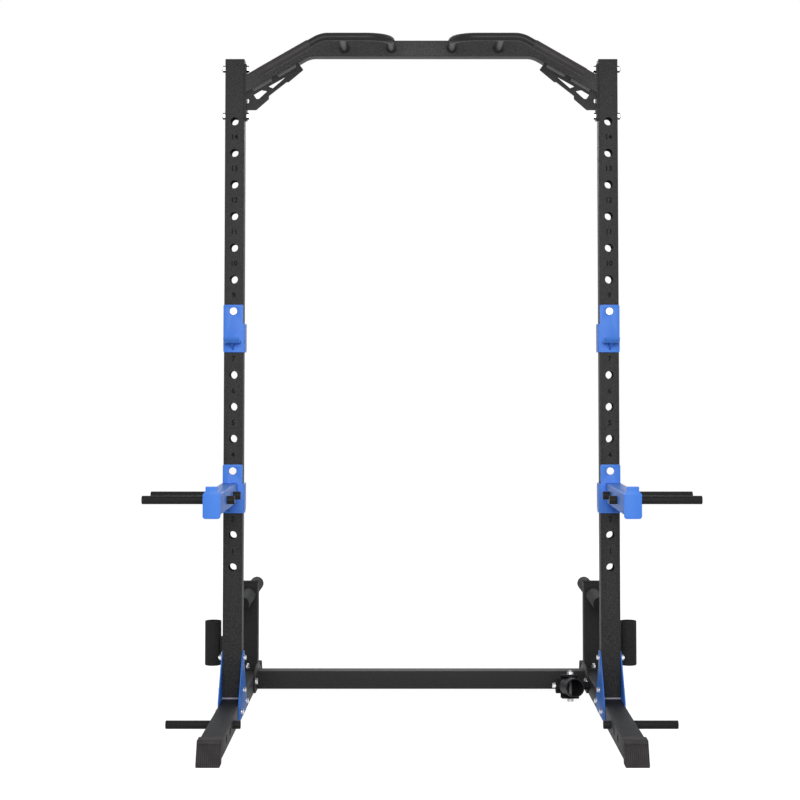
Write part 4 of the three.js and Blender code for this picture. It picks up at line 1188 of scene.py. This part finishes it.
    def build(self, shop: Workshop) -> None:
        """Puts the storage and the crossmember on the rack.

        Args:
            shop: Where the pieces are put on the rack.
        """
        shop.pair("plate_post", self.post_mesh(), Finishes.BLACK_POST, "rear_post")
        cap = moved(self.cap_mesh(), Direction.UP.at(self.centre, self.post_axis, self.post_top))
        shop.pair("plate_post_cap", cap, Finishes.BLACK_CAP, "rear_post_cap")
        shop.pair("plate_horn", self.horn_mesh(), Finishes.BLACK_HORN, "storage_horn")
        for name, way, y in (
            ("front", Direction.FRONT, self.horn_front),
            ("rear", Direction.BACK, self.horn_front + self.horn_length),
        ):
            plug = moved(self.horn_cap_mesh(), way.at(self.centre, y, self.horn_axis))
            shop.pair(f"horn_plug_{name}", plug, Finishes.BLACK_CAP, f"horn_cap_{name}")
        shop.pair("bar_cup", self.holder_mesh(), Finishes.BLACK_POST, "bar_holder")
        shop.place("lower_crossmember", self.member_mesh(), Finishes.BLACK_FRAME, "frame", "crossmember")
        shop.pair("frame_bolts", self.bolt_mesh(), Finishes.BRIGHT_ZINC)


@dataclass(kw_only=True)
class Crossbar(Assembly):
    """The bent top crossbar with its flanges, cut-out gussets, handles and bolts."""

    depth: float = 60.0
    height: float = 50.0
    axis: float = 2105.0
    bend_x: float = 360.0
    end_x: float = 554.0
    slope: float = math.radians(30.0)
    radius: float = 90.0
    flange: float = 6.0
    flange_low: float = 1880.0
    flange_high: float = 2056.0
    bolt_rows: tuple[tuple[str, float], ...] = (("upper", 2043.0), ("lower", 1893.0))
    gusset: float = 6.0
    gusset_front: float = 3.0
    gap: float = 0.3
    relief_z: float = 1937.7
    relief_half: float = 8.2
    relief_depth: float = 9.5
    handle: float = 25.0
    handle_reach: float = 202.0
    handle_inner: float = 95.0
    handle_stub: float = 243.0
    handle_bend: float = 306.0
    handle_outer: float = 496.0
    handle_radii: Point2 = (75.0, 80.0)
    grip: float = 28.5
    grip_length: float = 176.0

    @property
    def end_z(self) -> float:
        """The height of the bar's centre line at the flange."""
        return self.axis - (self.end_x - self.bend_x) * math.tan(self.slope)

    @property
    def handle_tip(self) -> Vector:
        """The end of the right handle's centre line."""
        drop = (self.handle_outer - self.handle_bend) * math.tan(self.slope)
        return Vector((self.handle_outer, -self.handle_reach, self.axis - drop))

    def bar_mesh(self) -> Mesh:
        """Makes the bent tube, trimmed square at the flanges.

        Returns:
            The mesh.
        """
        run, block = 60.0, 200.0
        x, z = self.end_x + run * math.cos(self.slope), self.end_z - run * math.sin(self.slope)
        y = self.depth / 2
        points = ((-x, y, z), (-self.bend_x, y, self.axis), (self.bend_x, y, self.axis), (x, y, z))
        line = BentLine([Vector(point) for point in points], [self.radius, self.radius])
        bar = swept("crossbar", rectangle(self.depth, self.height, self.corner), line)
        trim = plate("trim", rectangle(block, block, 1.0), [], block, 0.01)
        reach = self.end_x + block / 2
        spots = [Matrix.Translation((end, y, self.end_z - block / 2)) for end in (-reach, reach)]
        return drilled(bar, trim, spots)

    def spots(self, points: Sequence[Corner]) -> list[Corner]:
        """Turns gusset corners from places along the sloped tube and square below it into X and Z.

        Args:
            points: The run up the slope, the distance below it and the radius of each corner.

        Returns:
            X, Z and radius of each corner.
        """
        sine, cosine = math.sin(self.slope), math.cos(self.slope)
        corner_z = self.end_z - self.height / 2 / cosine
        return [
            (self.end_x - run * cosine - below * sine, corner_z + run * sine - below * cosine, radius)
            for run, below, radius in points
        ]

    def gusset_mesh(self) -> Mesh:
        """Makes the gusset under the slope, with its notches, windows and weld relief.

        Returns:
            The mesh.
        """
        edge_x, deep_x = self.end_x - self.gap, self.end_x - self.relief_depth
        low, high = self.relief_z - self.relief_half, self.relief_z + self.relief_half
        foot = self.spots([(0.0, 63.5, 3.0)])[0]
        outline = fillet([
            *self.spots([
                (0.0, 0.3, 0.0), (21.2, 0.3, 0.0), (24.2, 9.0, 1.5), (89.6, 9.0, 1.5), (92.6, 0.3, 0.0),
                (111.9, 0.3, 0.0), (114.9, 9.0, 1.5), (177.9, 9.0, 1.5), (180.9, 0.3, 0.0), (190.0, 0.3, 2.0),
                (193.0, 27.0, 3.0), (133.2, 37.5, 2.0), (127.2, 34.5, 1.5), (57.7, 44.5, 1.5),
                (51.7, 53.5, 2.0),
            ]),
            foot, (edge_x, foot[1], 0.0), (edge_x, low, 0.0),
            (deep_x, low, 7.0), (deep_x, high, 7.0), (edge_x, high, 0.0),
        ], 4)
        triangle = fillet(self.spots([(70.6, 17.9, 1.0), (136.3, 18.6, 0.8), (80.0, 29.8, 1.5)]), 3)
        window = fillet(self.spots([
            (17.2, 17.6, 1.0), (46.1, 16.9, 1.5), (60.4, 29.2, 1.5), (25.1, 36.9, 3.0), (18.5, 33.7, 2.0),
        ]), 3)
        mesh = plate("gusset", outline, [triangle, window], self.gusset, 0.4)
        return moved(mesh, front_plane(self.gusset_front + self.gusset))

    def handle_mesh(self) -> Mesh:
        """Makes the bent handle bar and its stub.

        Returns:
            The mesh.
        """
        reach, axis = -self.handle_reach, self.axis
        points = [(self.handle_inner, 0.0), (self.handle_inner, reach), (self.handle_bend, reach)]
        corners = [Vector((x, y, axis)) for x, y in points]
        line = BentLine([*corners, self.handle_tip], list(self.handle_radii))
        bar = swept("handle", circle(self.handle / 2, 28), line)
        stub = rod("stub", self.handle / 2 - 0.05, self.handle_reach, 0.2, 28)
        return Tool.ADD.work(bar, moved(stub, Direction.BACK.at(self.handle_stub, reach, axis)))

    def weld_mesh(self, x: float) -> Mesh:
        """Makes the weld bead round a handle leg, where it meets the crossbar.

        Args:
            x: The leg's centre.

        Returns:
            A rippled ring.
        """
        rings = []
        for a, b in circle(1.0, 72):
            ripple = 0.35 * math.cos(math.atan2(b, a) * 24)
            section = ((4.0 + ripple, 0.0), (2.6 + ripple, 2.0), (-0.2, 3.6 + ripple), (-0.6, 0.0))
            spokes = [(self.handle / 2 + out, lift) for out, lift in section]
            rings.append([(x + a * spoke, -lift, self.axis + b * spoke) for spoke, lift in spokes])
        return skinned("weld", rings, Ends.JOINED)

    def grip_mesh(self) -> Mesh:
        """Makes the rubber grip: a sleeve with a rolled lip and a domed closed end.

        Returns:
            The mesh.
        """
        outer, bore, length = self.grip / 2, self.handle / 2 + 0.2, self.grip_length
        profile = [
            (0.0, -2.8), (outer - 2.0, -2.8), (outer - 0.6, -2.0), (outer, -0.6), (outer, length - 3.0),
            (outer - 0.3, length - 1.0), (outer - 1.0, length), (bore, length), (bore, -0.3), (0.0, -0.3),
        ]
        way = Matrix.Rotation(self.slope - math.pi / 2, 4, "Y")
        return moved(turned("grip", profile), Matrix.Translation(self.handle_tip) @ way)

    def build(self, shop: Workshop) -> None:
        """Puts the crossbar and what it carries on the rack.

        Args:
            shop: Where the pieces are put on the rack.
        """
        shop.place("pull_up_crossbar", self.bar_mesh(), Finishes.BLACK_BAR, "frame", "top_crossbar")
        outline = rectangle(self.depth, self.flange_high - self.flange_low, 3.0)
        flange = plate("flange", outline, [], self.flange)
        moved(flange, Direction.OUT.at(self.end_x, self.depth / 2, (self.flange_low + self.flange_high) / 2))
        shop.pair("crossbar_end_plate", flange, Finishes.BLACK_FRAME, "crossbar_flange")
        shop.pair("slope_gusset", self.gusset_mesh(), Finishes.BLACK_FRAME, "crossbar_gusset")
        shop.pair("handle_bar", self.handle_mesh(), Finishes.BLACK_HANDLE, "pull_up_handle")
        welds = joined("welds", [self.weld_mesh(x) for x in (self.handle_inner, self.handle_stub)])
        shop.pair("handle_welds", welds, Finishes.BLACK_FRAME)
        shop.pair("slope_grip", self.grip_mesh(), Finishes.GRIP, "handle_grip")
        head, nut = hexagon_head("head", 19.0, 8.0), bolt(19.0, 8.5, 11.5, 2.5)
        for name, row in self.bolt_rows:
            ends = joined("bolt", [
                (nut, Direction.OUT.at(self.end_x + self.flange + self.tube, self.depth / 2, row)),
                (head, Direction.IN.at(self.end_x, self.depth / 2, row)),
            ])
            shop.pair(f"crossbar_bolt_{name}", ends, Finishes.ZINC, f"flange_bolt_{name}")


@dataclass(kw_only=True)
class Bracket(Assembly):
    """The plate, side flange, rib and pin that the J-hooks and the spotter arms share."""

    pin_z: float
    below: float
    chamfer: float
    rib_run: float
    rib_drop: float
    plate_thickness: float = 6.0
    side_thickness: float = 5.0
    plate_outer: float = 621.5
    plate_inner: float = 559.5
    above: float = 20.5
    step: float = 39.5
    reach: float = 64.0
    back: float = -0.3
    bend: float = 3.2
    pin: float = 24.0
    pin_length: float = 84.0
    proud: float = 0.8
    rib: float = 6.0

    @property
    def face(self) -> float:
        """The front of the plate, in Y."""
        return self.back - self.plate_thickness

    def bracket_mesh(self) -> Mesh:
        """Makes the front plate, the side flange and the bend between them.

        Returns:
            The mesh.
        """
        top, bottom, step = self.pin_z + self.above, self.pin_z - self.below, self.pin_z - self.step
        side_x, front = self.plate_inner - self.side_thickness, self.face + 0.8
        outline = fillet([
            (self.plate_outer, bottom, 5.0), (self.plate_outer, top, 5.0), (self.plate_inner, top, 5.0),
            (self.plate_inner, step, 0.0), (side_x + 1.5, step, 1.0), (side_x + 1.5, bottom, 1.0),
        ])
        hole = circle(self.pin / 2 + 0.3, 40, (self.centre, self.pin_z))
        side_outline = fillet([
            (front, bottom, 1.0), (self.reach - self.chamfer, bottom, 3.0),
            (self.reach, bottom + self.chamfer, 3.0), (self.reach, step, 5.0), (front, step, 1.0),
        ])
        bend = rod("bend", self.bend, step - bottom, 0.8, 24)
        return joined("bracket", [
            (plate("bracket_plate", outline, [hole], self.plate_thickness, 0.6), front_plane(self.back)),
            (plate("bracket_side", side_outline, [], self.side_thickness, 0.6), side_plane(side_x)),
            (bend, Direction.UP.at(side_x + self.bend, self.face + self.bend, bottom)),
        ])

    def rib_mesh(self, x: float, top: float) -> Mesh:
        """Makes the triangular rib under what the plate carries.

        Args:
            x: The rib's middle.
            top: The height of its top.

        Returns:
            The mesh.
        """
        face = self.face + 0.5
        tip, foot = face - self.rib_run, top - self.rib_drop
        outline = fillet([(face, top, 0.0), (tip, top, 2.0), (face, foot, 2.0)])
        return moved(plate("rib", outline, [], self.rib), side_plane(x - self.rib / 2))

    def pin_mesh(self) -> Mesh:
        """Makes the polished pin through the upright's hole."""
        pin = rod("pin", self.pin / 2, self.pin_length + self.proud, 1.0)
        return moved(pin, Direction.BACK.at(self.centre, self.face - self.proud, self.pin_z))


@dataclass(kw_only=True)
class JHook(Bracket):
    """A J-hook: the bracket with a bent saddle and its rib."""

    pin_z: float = 1273.0
    below: float = 129.0
    chamfer: float = 5.0
    rib_run: float = 42.0
    rib_drop: float = 23.0
    saddle_width: float = 49.0
    saddle_offset: float = 1.0
    saddle_depth: float = 49.0
    saddle_thickness: float = 6.0
    saddle_drop: float = 101.0
    lip: float = 20.0

    def saddle_mesh(self) -> Mesh:
        """Makes the saddle: a bent strip with an upturned lip.

        Returns:
            The mesh.
        """
        face, low, tip = self.face + 0.5, self.pin_z - self.saddle_drop, self.face - self.saddle_depth
        high = low + self.saddle_thickness
        run, wall = self.lip * math.sqrt(0.5), self.saddle_thickness * math.sqrt(0.5)
        shift = self.saddle_thickness * math.tan(math.pi / 8)
        outline = fillet([
            (face, low, 0.0), (face, high, 0.0), (tip + shift, high, 4.0),
            (tip - run + wall, low + run + wall, 1.0), (tip - run, low + run, 1.0), (tip, low, 9.0),
        ])
        mesh = plate("saddle", outline, [], self.saddle_width, 0.6)
        return moved(mesh, side_plane(self.centre + self.saddle_offset - self.saddle_width / 2))

    def build(self, shop: Workshop) -> None:
        """Puts both J-hooks on the rack.

        Args:
            shop: Where the pieces are put on the rack.
        """
        rib = self.rib_mesh(self.centre + self.saddle_offset, self.pin_z - self.saddle_drop + 1.0)
        hook = joined("j_hook", [self.bracket_mesh(), self.saddle_mesh(), rib])
        shop.pair("j_hook_body", hook, Finishes.BLUE_PAINT, "j_hook", "j_hook")
        shop.pair("j_hook_peg", self.pin_mesh(), Finishes.POLISHED, "j_hook_pin", "j_hook_pin")


@dataclass(kw_only=True)
class SpotterArm(Bracket):
    """A spotter arm: the bracket with a long tube, its end stop, rib and pegs."""

    pin_z: float = 773.0
    below: float = 131.0
    chamfer: float = 16.0
    rib_run: float = 40.0
    rib_drop: float = 32.0
    width: float = 50.0
    height: float = 60.0
    length: float = 498.0
    drop: float = 37.0
    offset: float = 10.0
    end: float = 6.0
    tab: float = 17.5
    peg: float = 25.0
    peg_start: float = 553.0
    peg_end: float = 827.0
    peg_rows: tuple[tuple[str, float], ...] = (("rear", 125.0), ("front", 310.0))

    @property
    def axis_x(self) -> float:
        """The tube's centre line, in X."""
        return self.centre + self.offset

    @property
    def axis_z(self) -> float:
        """The tube's centre line, in Z."""
        return self.pin_z - self.drop - self.height / 2

    @property
    def tip(self) -> float:
        """The tube's front end, in Y."""
        return self.face - self.length

    def tube_mesh(self) -> Mesh:
        """Makes the arm's tube with its two peg holes.

        Returns:
            The mesh.
        """
        tube = hollow("arm_tube", self.height, self.width, self.wall, self.length + 0.5, 4.0, 2.0, 0.3)
        moved(tube, Direction.BACK.at(self.axis_x, self.tip, self.axis_z))
        side = self.axis_x - self.width / 2
        spots = [Direction.OUT.at(side, self.face - row, self.axis_z) for _, row in self.peg_rows]
        return drilled(tube, flared_drill(self.peg / 2 + 0.3, self.width, 0.6), spots)

    def end_mesh(self) -> Mesh:
        """Makes the end stop with its narrower tab.

        Returns:
            The mesh.
        """
        half, top = self.width / 2 + 0.5, self.axis_z + self.height / 2
        corners = [
            (half, top - self.height - 10.0, 8.0), (half, top, 4.0),
            (self.tab, top + 9.0, 3.0), (self.tab, top + 22.0, 3.0),
        ]
        outline = [(self.axis_x + run, height, radius) for run, height, radius in corners]
        outline += [(self.axis_x - run, height, radius) for run, height, radius in reversed(corners)]
        return moved(plate("end_stop", fillet(outline), [], self.end, 0.8), front_plane(self.tip))

    def build(self, shop: Workshop) -> None:
        """Puts both spotter arms on the rack.

        Args:
            shop: Where the pieces are put on the rack.
        """
        rib = self.rib_mesh(self.axis_x, self.axis_z - self.height / 2 + 1.2)
        arm = joined("arm", [self.bracket_mesh(), self.tube_mesh(), self.end_mesh(), rib])
        shop.pair("spotter_arm_body", arm, Finishes.BLUE_PAINT, "spotter_arm", "spotter_arm")
        shop.pair("spotter_peg", self.pin_mesh(), Finishes.POLISHED, "spotter_arm_pin", "spotter_pin")
        for name, row in self.peg_rows:
            peg = rod("arm_peg", self.peg / 2, self.peg_end - self.peg_start)
            moved(peg, Direction.OUT.at(self.peg_start, self.face - row, self.axis_z))
            shop.pair(f"band_peg_{name}", peg, Finishes.BLACK_PEG, f"arm_peg_{name}", "spotter_arm")


@dataclass(kw_only=True)
class Landmine(Assembly):
    """The landmine swivel on the right base tube."""

    axle_y: float = 400.0
    axle_z: float = 39.0
    axle: float = 14.0
    axle_start: float = 442.0
    axle_end: float = 634.0
    middle: float = 490.0
    barrel: float = 51.0
    barrel_start: float = 448.0
    barrel_end: float = 532.0
    bore: float = 7.5
    spacer: float = 27.0
    spacer_end: float = 560.0
    yoke_width: float = 56.0
    yoke_plate: float = 6.0
    yoke_half: float = 32.0
    reach: float = 79.0
    nose: float = 20.0
    sleeve: float = 60.0
    sleeve_wall: float = 4.0
    sleeve_front: float = 92.0
    sleeve_rear: float = 34.0
    sleeve_turn: float = math.radians(5.5)
    king: float = 10.0
    king_tip: float = 7.0
    nut_radius: float = 9.0
    nut_height: float = 10.0
    nut_gap: float = 0.3

    @property
    def cheek(self) -> float:
        """The distance from the yoke's middle plane to the outside of its plates."""
        return self.yoke_half + self.yoke_plate

    def tilted(self, mesh: Mesh) -> Mesh:
        """Moves a mesh drawn level about the axle to where it rests, by the edge of the king bolt's nut.

        Args:
            mesh: The mesh.

        Returns:
            The same mesh.
        """
        forward, below = self.reach - self.nut_radius, self.cheek + self.nut_height
        sunk = math.asin((self.axle_z - self.nut_gap) / math.hypot(forward, below))
        tilt = Matrix.Rotation(sunk - math.atan2(below, forward), 4, "X")
        return moved(mesh, Matrix.Translation((0.0, self.axle_y, self.axle_z)) @ tilt)

    def yoke_mesh(self) -> Mesh:
        """Makes the barrel, the spacer and the bracket in front of them.

        Returns:
            The mesh.
        """
        radius, slim, half = self.barrel / 2, self.spacer / 2, self.yoke_width / 2
        start, end, far = self.barrel_start + 0.3, self.barrel_end, self.spacer_end
        profile = [
            (self.bore, start), (radius - 1.0, start), (radius, start + 1.0), (radius, end - 1.0),
            (radius - 1.0, end), (slim, end), (slim, far - 0.8), (slim - 0.5, far - 0.3),
            (self.bore, far - 0.3), (self.bore, start),
        ]
        tip, rear = -self.reach - self.nose, 2.0 - radius
        corners = [(-half, rear, 1.0), (-half, tip, 12.0), (half, tip, 12.0), (half, rear, 1.0)]
        hole = circle(self.king / 2 + 0.3, 24, (0.0, -self.reach))
        tab = plate("tab", fillet(corners), [hole], self.yoke_plate, 0.7)
        back = plate("back", rectangle(self.yoke_width, 2 * self.cheek - 1.0, 1.5), [], self.yoke_plate, 0.7)
        return self.tilted(joined("yoke", [
            (turned("barrel", profile, 48), side_plane(0.0)),
            (tab, Direction.UP.at(self.middle, 0.0, self.yoke_half)),
            (tab, Direction.UP.at(self.middle, 0.0, -self.cheek)),
            (back, Direction.FRONT.at(self.middle, rear, 0.0)),
        ]))

    def sleeve_mesh(self) -> Mesh:
        """Makes the bar sleeve with softened mouths.

        Returns:
            The mesh.
        """
        outer, inner = self.sleeve / 2, self.sleeve / 2 - self.sleeve_wall
        length = self.sleeve_front + self.sleeve_rear
        profile = [
            (inner + 0.8, 0.0), (outer - 1.0, 0.0), (outer, 1.0), (outer, length - 1.0),
            (outer - 1.0, length), (inner + 0.8, length), (inner, length - 1.0), (inner, 1.0),
            (inner + 0.8, 0.0),
        ]
        tube = moved(turned("sleeve", profile, 56), Direction.BACK.at(0.0, -self.sleeve_front, 0.0))
        drill = rod("drill", self.king / 2 + 0.5, 2 * self.sleeve, 0.1, 24)
        tube = drilled(tube, drill, [lifted(-self.sleeve)])
        turn = Matrix.Rotation(self.sleeve_turn, 4, "Z")
        return self.tilted(moved(tube, Matrix.Translation((self.middle, -self.reach, 0.0)) @ turn))

    def king_mesh(self) -> Mesh:
        """Makes the king bolt with its head, washer and nut.

        Returns:
            The mesh.
        """
        spot = Matrix.Translation((self.middle, -self.reach, 0.0)) @ Matrix.Rotation(math.pi / 6, 4, "Z")
        return self.tilted(joined("king_bolt", [
            (bolt(18.0, 8.0, 12.0, 4.0), spot @ lifted(self.cheek)),
            (hexagon_head("nut", 18.0, 9.8), spot @ Direction.DOWN.at(0.0, 0.0, -self.cheek)),
        ]))

    def shank_mesh(self) -> Mesh:
        """Makes the king bolt's shank, which shows inside the sleeve.

        Returns:
            The mesh.
        """
        end = self.cheek + self.king_tip
        shank = rod("shank", self.king / 2, 2 * end, 0.8, 28)
        return self.tilted(moved(shank, Direction.UP.at(self.middle, -self.reach, -end)))

    def axle_mesh(self) -> Mesh:
        """Makes the axle bolt, from its head inside to its nut outside the base tube.

        Returns:
            The mesh.
        """
        shank = rod("shank", self.axle / 2, self.axle_end - self.axle_start, 0.8, 28)
        return joined("axle", [
            (shank, Direction.OUT.at(self.axle_start, self.axle_y, self.axle_z)),
            (bolt(15.0, 9.0, 9.0), Direction.IN.at(self.barrel_start, self.axle_y, self.axle_z)),
            (bolt(23.0, 10.0, 14.0, 2.0), Direction.OUT.at(self.outer, self.axle_y, self.axle_z)),
        ])

    def build(self, shop: Workshop) -> None:
        """Puts the swivel on the rack.

        Args:
            shop: Where the pieces are put on the rack.
        """
        shop.place("swivel_yoke", self.yoke_mesh(), Finishes.BLACK_CAST, "landmine_pivot", "landmine_yoke")
        shop.place("swivel_king_bolt", self.king_mesh(), Finishes.ZINC, "landmine_pivot", "landmine_bolt")
        shop.place("swivel_king_shank", self.shank_mesh(), Finishes.DULL_ZINC, "landmine_pivot")
        sleeve = self.sleeve_mesh()
        shop.place("swivel_sleeve", sleeve, Finishes.BLACK_BASE, "landmine_sleeve", "landmine_sleeve")
        shop.place("swivel_axle", self.axle_mesh(), Finishes.BRIGHT_ZINC, "frame", "landmine_axle")


# The studio


@dataclass
class Studio:
    """The camera, the floor, the backdrop light and the lamps, with their places in metres."""

    eye: tuple[float, float, float] = (-0.025, -5.8135, 1.100)
    pitch: float = math.radians(2.75)
    lens: float = 81.675
    shift: Point2 = (-0.0169, -0.151)
    floor_size: float = 30.0
    floor_grey: float = 0.4
    floor_glow: float = 0.95
    ambient: float = 0.14
    aim: tuple[float, float, float] = (0.0, 0.0, 1.0)
    lamps: tuple[tuple[str, tuple[float, float, float], float, float], ...] = (
        ("key_lamp", (-0.6, -4.8, 2.2), 1.8, 88.0),
        ("fill_lamp", (0.7, -4.8, 1.9), 1.8, 84.0),
        ("top_lamp", (0.0, 0.3, 4.6), 3.0, 3.0),
        ("back_lamp", (0.0, 5.2, 3.6), 2.4, 80.0),
        ("left_lamp", (-5.2, 0.8, 2.6), 2.4, 25.0),
        ("right_lamp", (5.2, 0.8, 2.6), 2.4, 25.0),
    )

    def camera(self) -> None:
        """Sets the camera where the photograph was taken from."""
        data = bpy.data.cameras.new("camera")
        data.lens = self.lens
        data.sensor_width = 36.0
        data.sensor_fit = "HORIZONTAL"
        data.shift_x, data.shift_y = self.shift
        data.clip_end = 100.0
        obj = on_show("camera", data)
        obj.location = self.eye
        obj.rotation_euler = (math.pi / 2 + self.pitch, 0.0, 0.0)
        bpy.context.scene.camera = obj

    def floor(self) -> None:
        """Lays a white floor that keeps a faint shadow."""
        half = self.floor_size / 2
        mesh = bpy.data.meshes.new("floor")
        corners = [(-half, -half, 0.0), (half, -half, 0.0), (half, half, 0.0), (-half, half, 0.0)]
        mesh.from_pydata(corners, [], [(0, 1, 2, 3)])
        material = bpy.data.materials.new("studio_floor")
        material.use_nodes = True
        material.node_tree.nodes.clear()
        nodes = ShaderNodes(material.node_tree)
        seen = nodes.add("LightPath").outputs
        gate = nodes.larger(seen["Is Camera Ray"], seen["Is Glossy Ray"])
        share = nodes.add("Math", {0: gate, 1: self.floor_glow}, operation="MULTIPLY").outputs["Value"]
        matt = nodes.add("BsdfDiffuse", {"Color": (*(self.floor_grey,) * 3, 1.0)}).outputs["BSDF"]
        glow = nodes.add("Emission", {"Strength": share}).outputs["Emission"]
        nodes.add("OutputMaterial", {"Surface": nodes.add("AddShader", {0: matt, 1: glow}).outputs["Shader"]})
        mesh.materials.append(material)
        obj = on_show("floor", mesh)

    def world(self) -> None:
        """Lights the scene evenly and shows white behind the rack."""
        world = bpy.data.worlds.new("studio")
        bpy.context.scene.world = world
        world.use_nodes = True
        nodes = ShaderNodes(world.node_tree)
        path = nodes.add("LightPath").outputs
        seen = nodes.larger(path["Is Camera Ray"], path["Is Transmission Ray"])
        limits = {"Value": nodes.larger(seen, path["Is Glossy Ray"]), "To Min": self.ambient, "To Max": 1.0}
        strength = nodes.add("MapRange", limits).outputs["Result"]
        nodes.fill(world.node_tree.nodes["Background"], {"Color": (1.0, 1.0, 1.0, 1.0), "Strength": strength})

    def build(self) -> None:
        """Sets up the camera, the floor, the world and the soft square lamps."""
        self.camera()
        self.floor()
        self.world()
        for name, place, size, power in self.lamps:
            data = bpy.data.lights.new(name, "AREA")
            data.size = size
            data.energy = power
            obj = on_show(name, data)
            obj.location = place
            obj.rotation_euler = (Vector(self.aim) - Vector(place)).to_track_quat("-Z", "Y").to_euler()
        bpy.context.scene.view_settings.view_transform = "Standard"


def main() -> None:
    """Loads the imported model, dresses it and sets up the studio."""
    logging.basicConfig(level=logging.INFO, format="%(message)s")
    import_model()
    Studio().build()
    shop = Workshop()
    for assembly in (Uprights(), Base(), Storage(), Crossbar(), JHook(), SpotterArm(), Landmine()):
        assembly.build(shop)
        LOG.info("%s done", type(assembly).__name__)
    LOG.info("%d pieces made", len(shop.made))


if __name__ == "__main__":
    main()
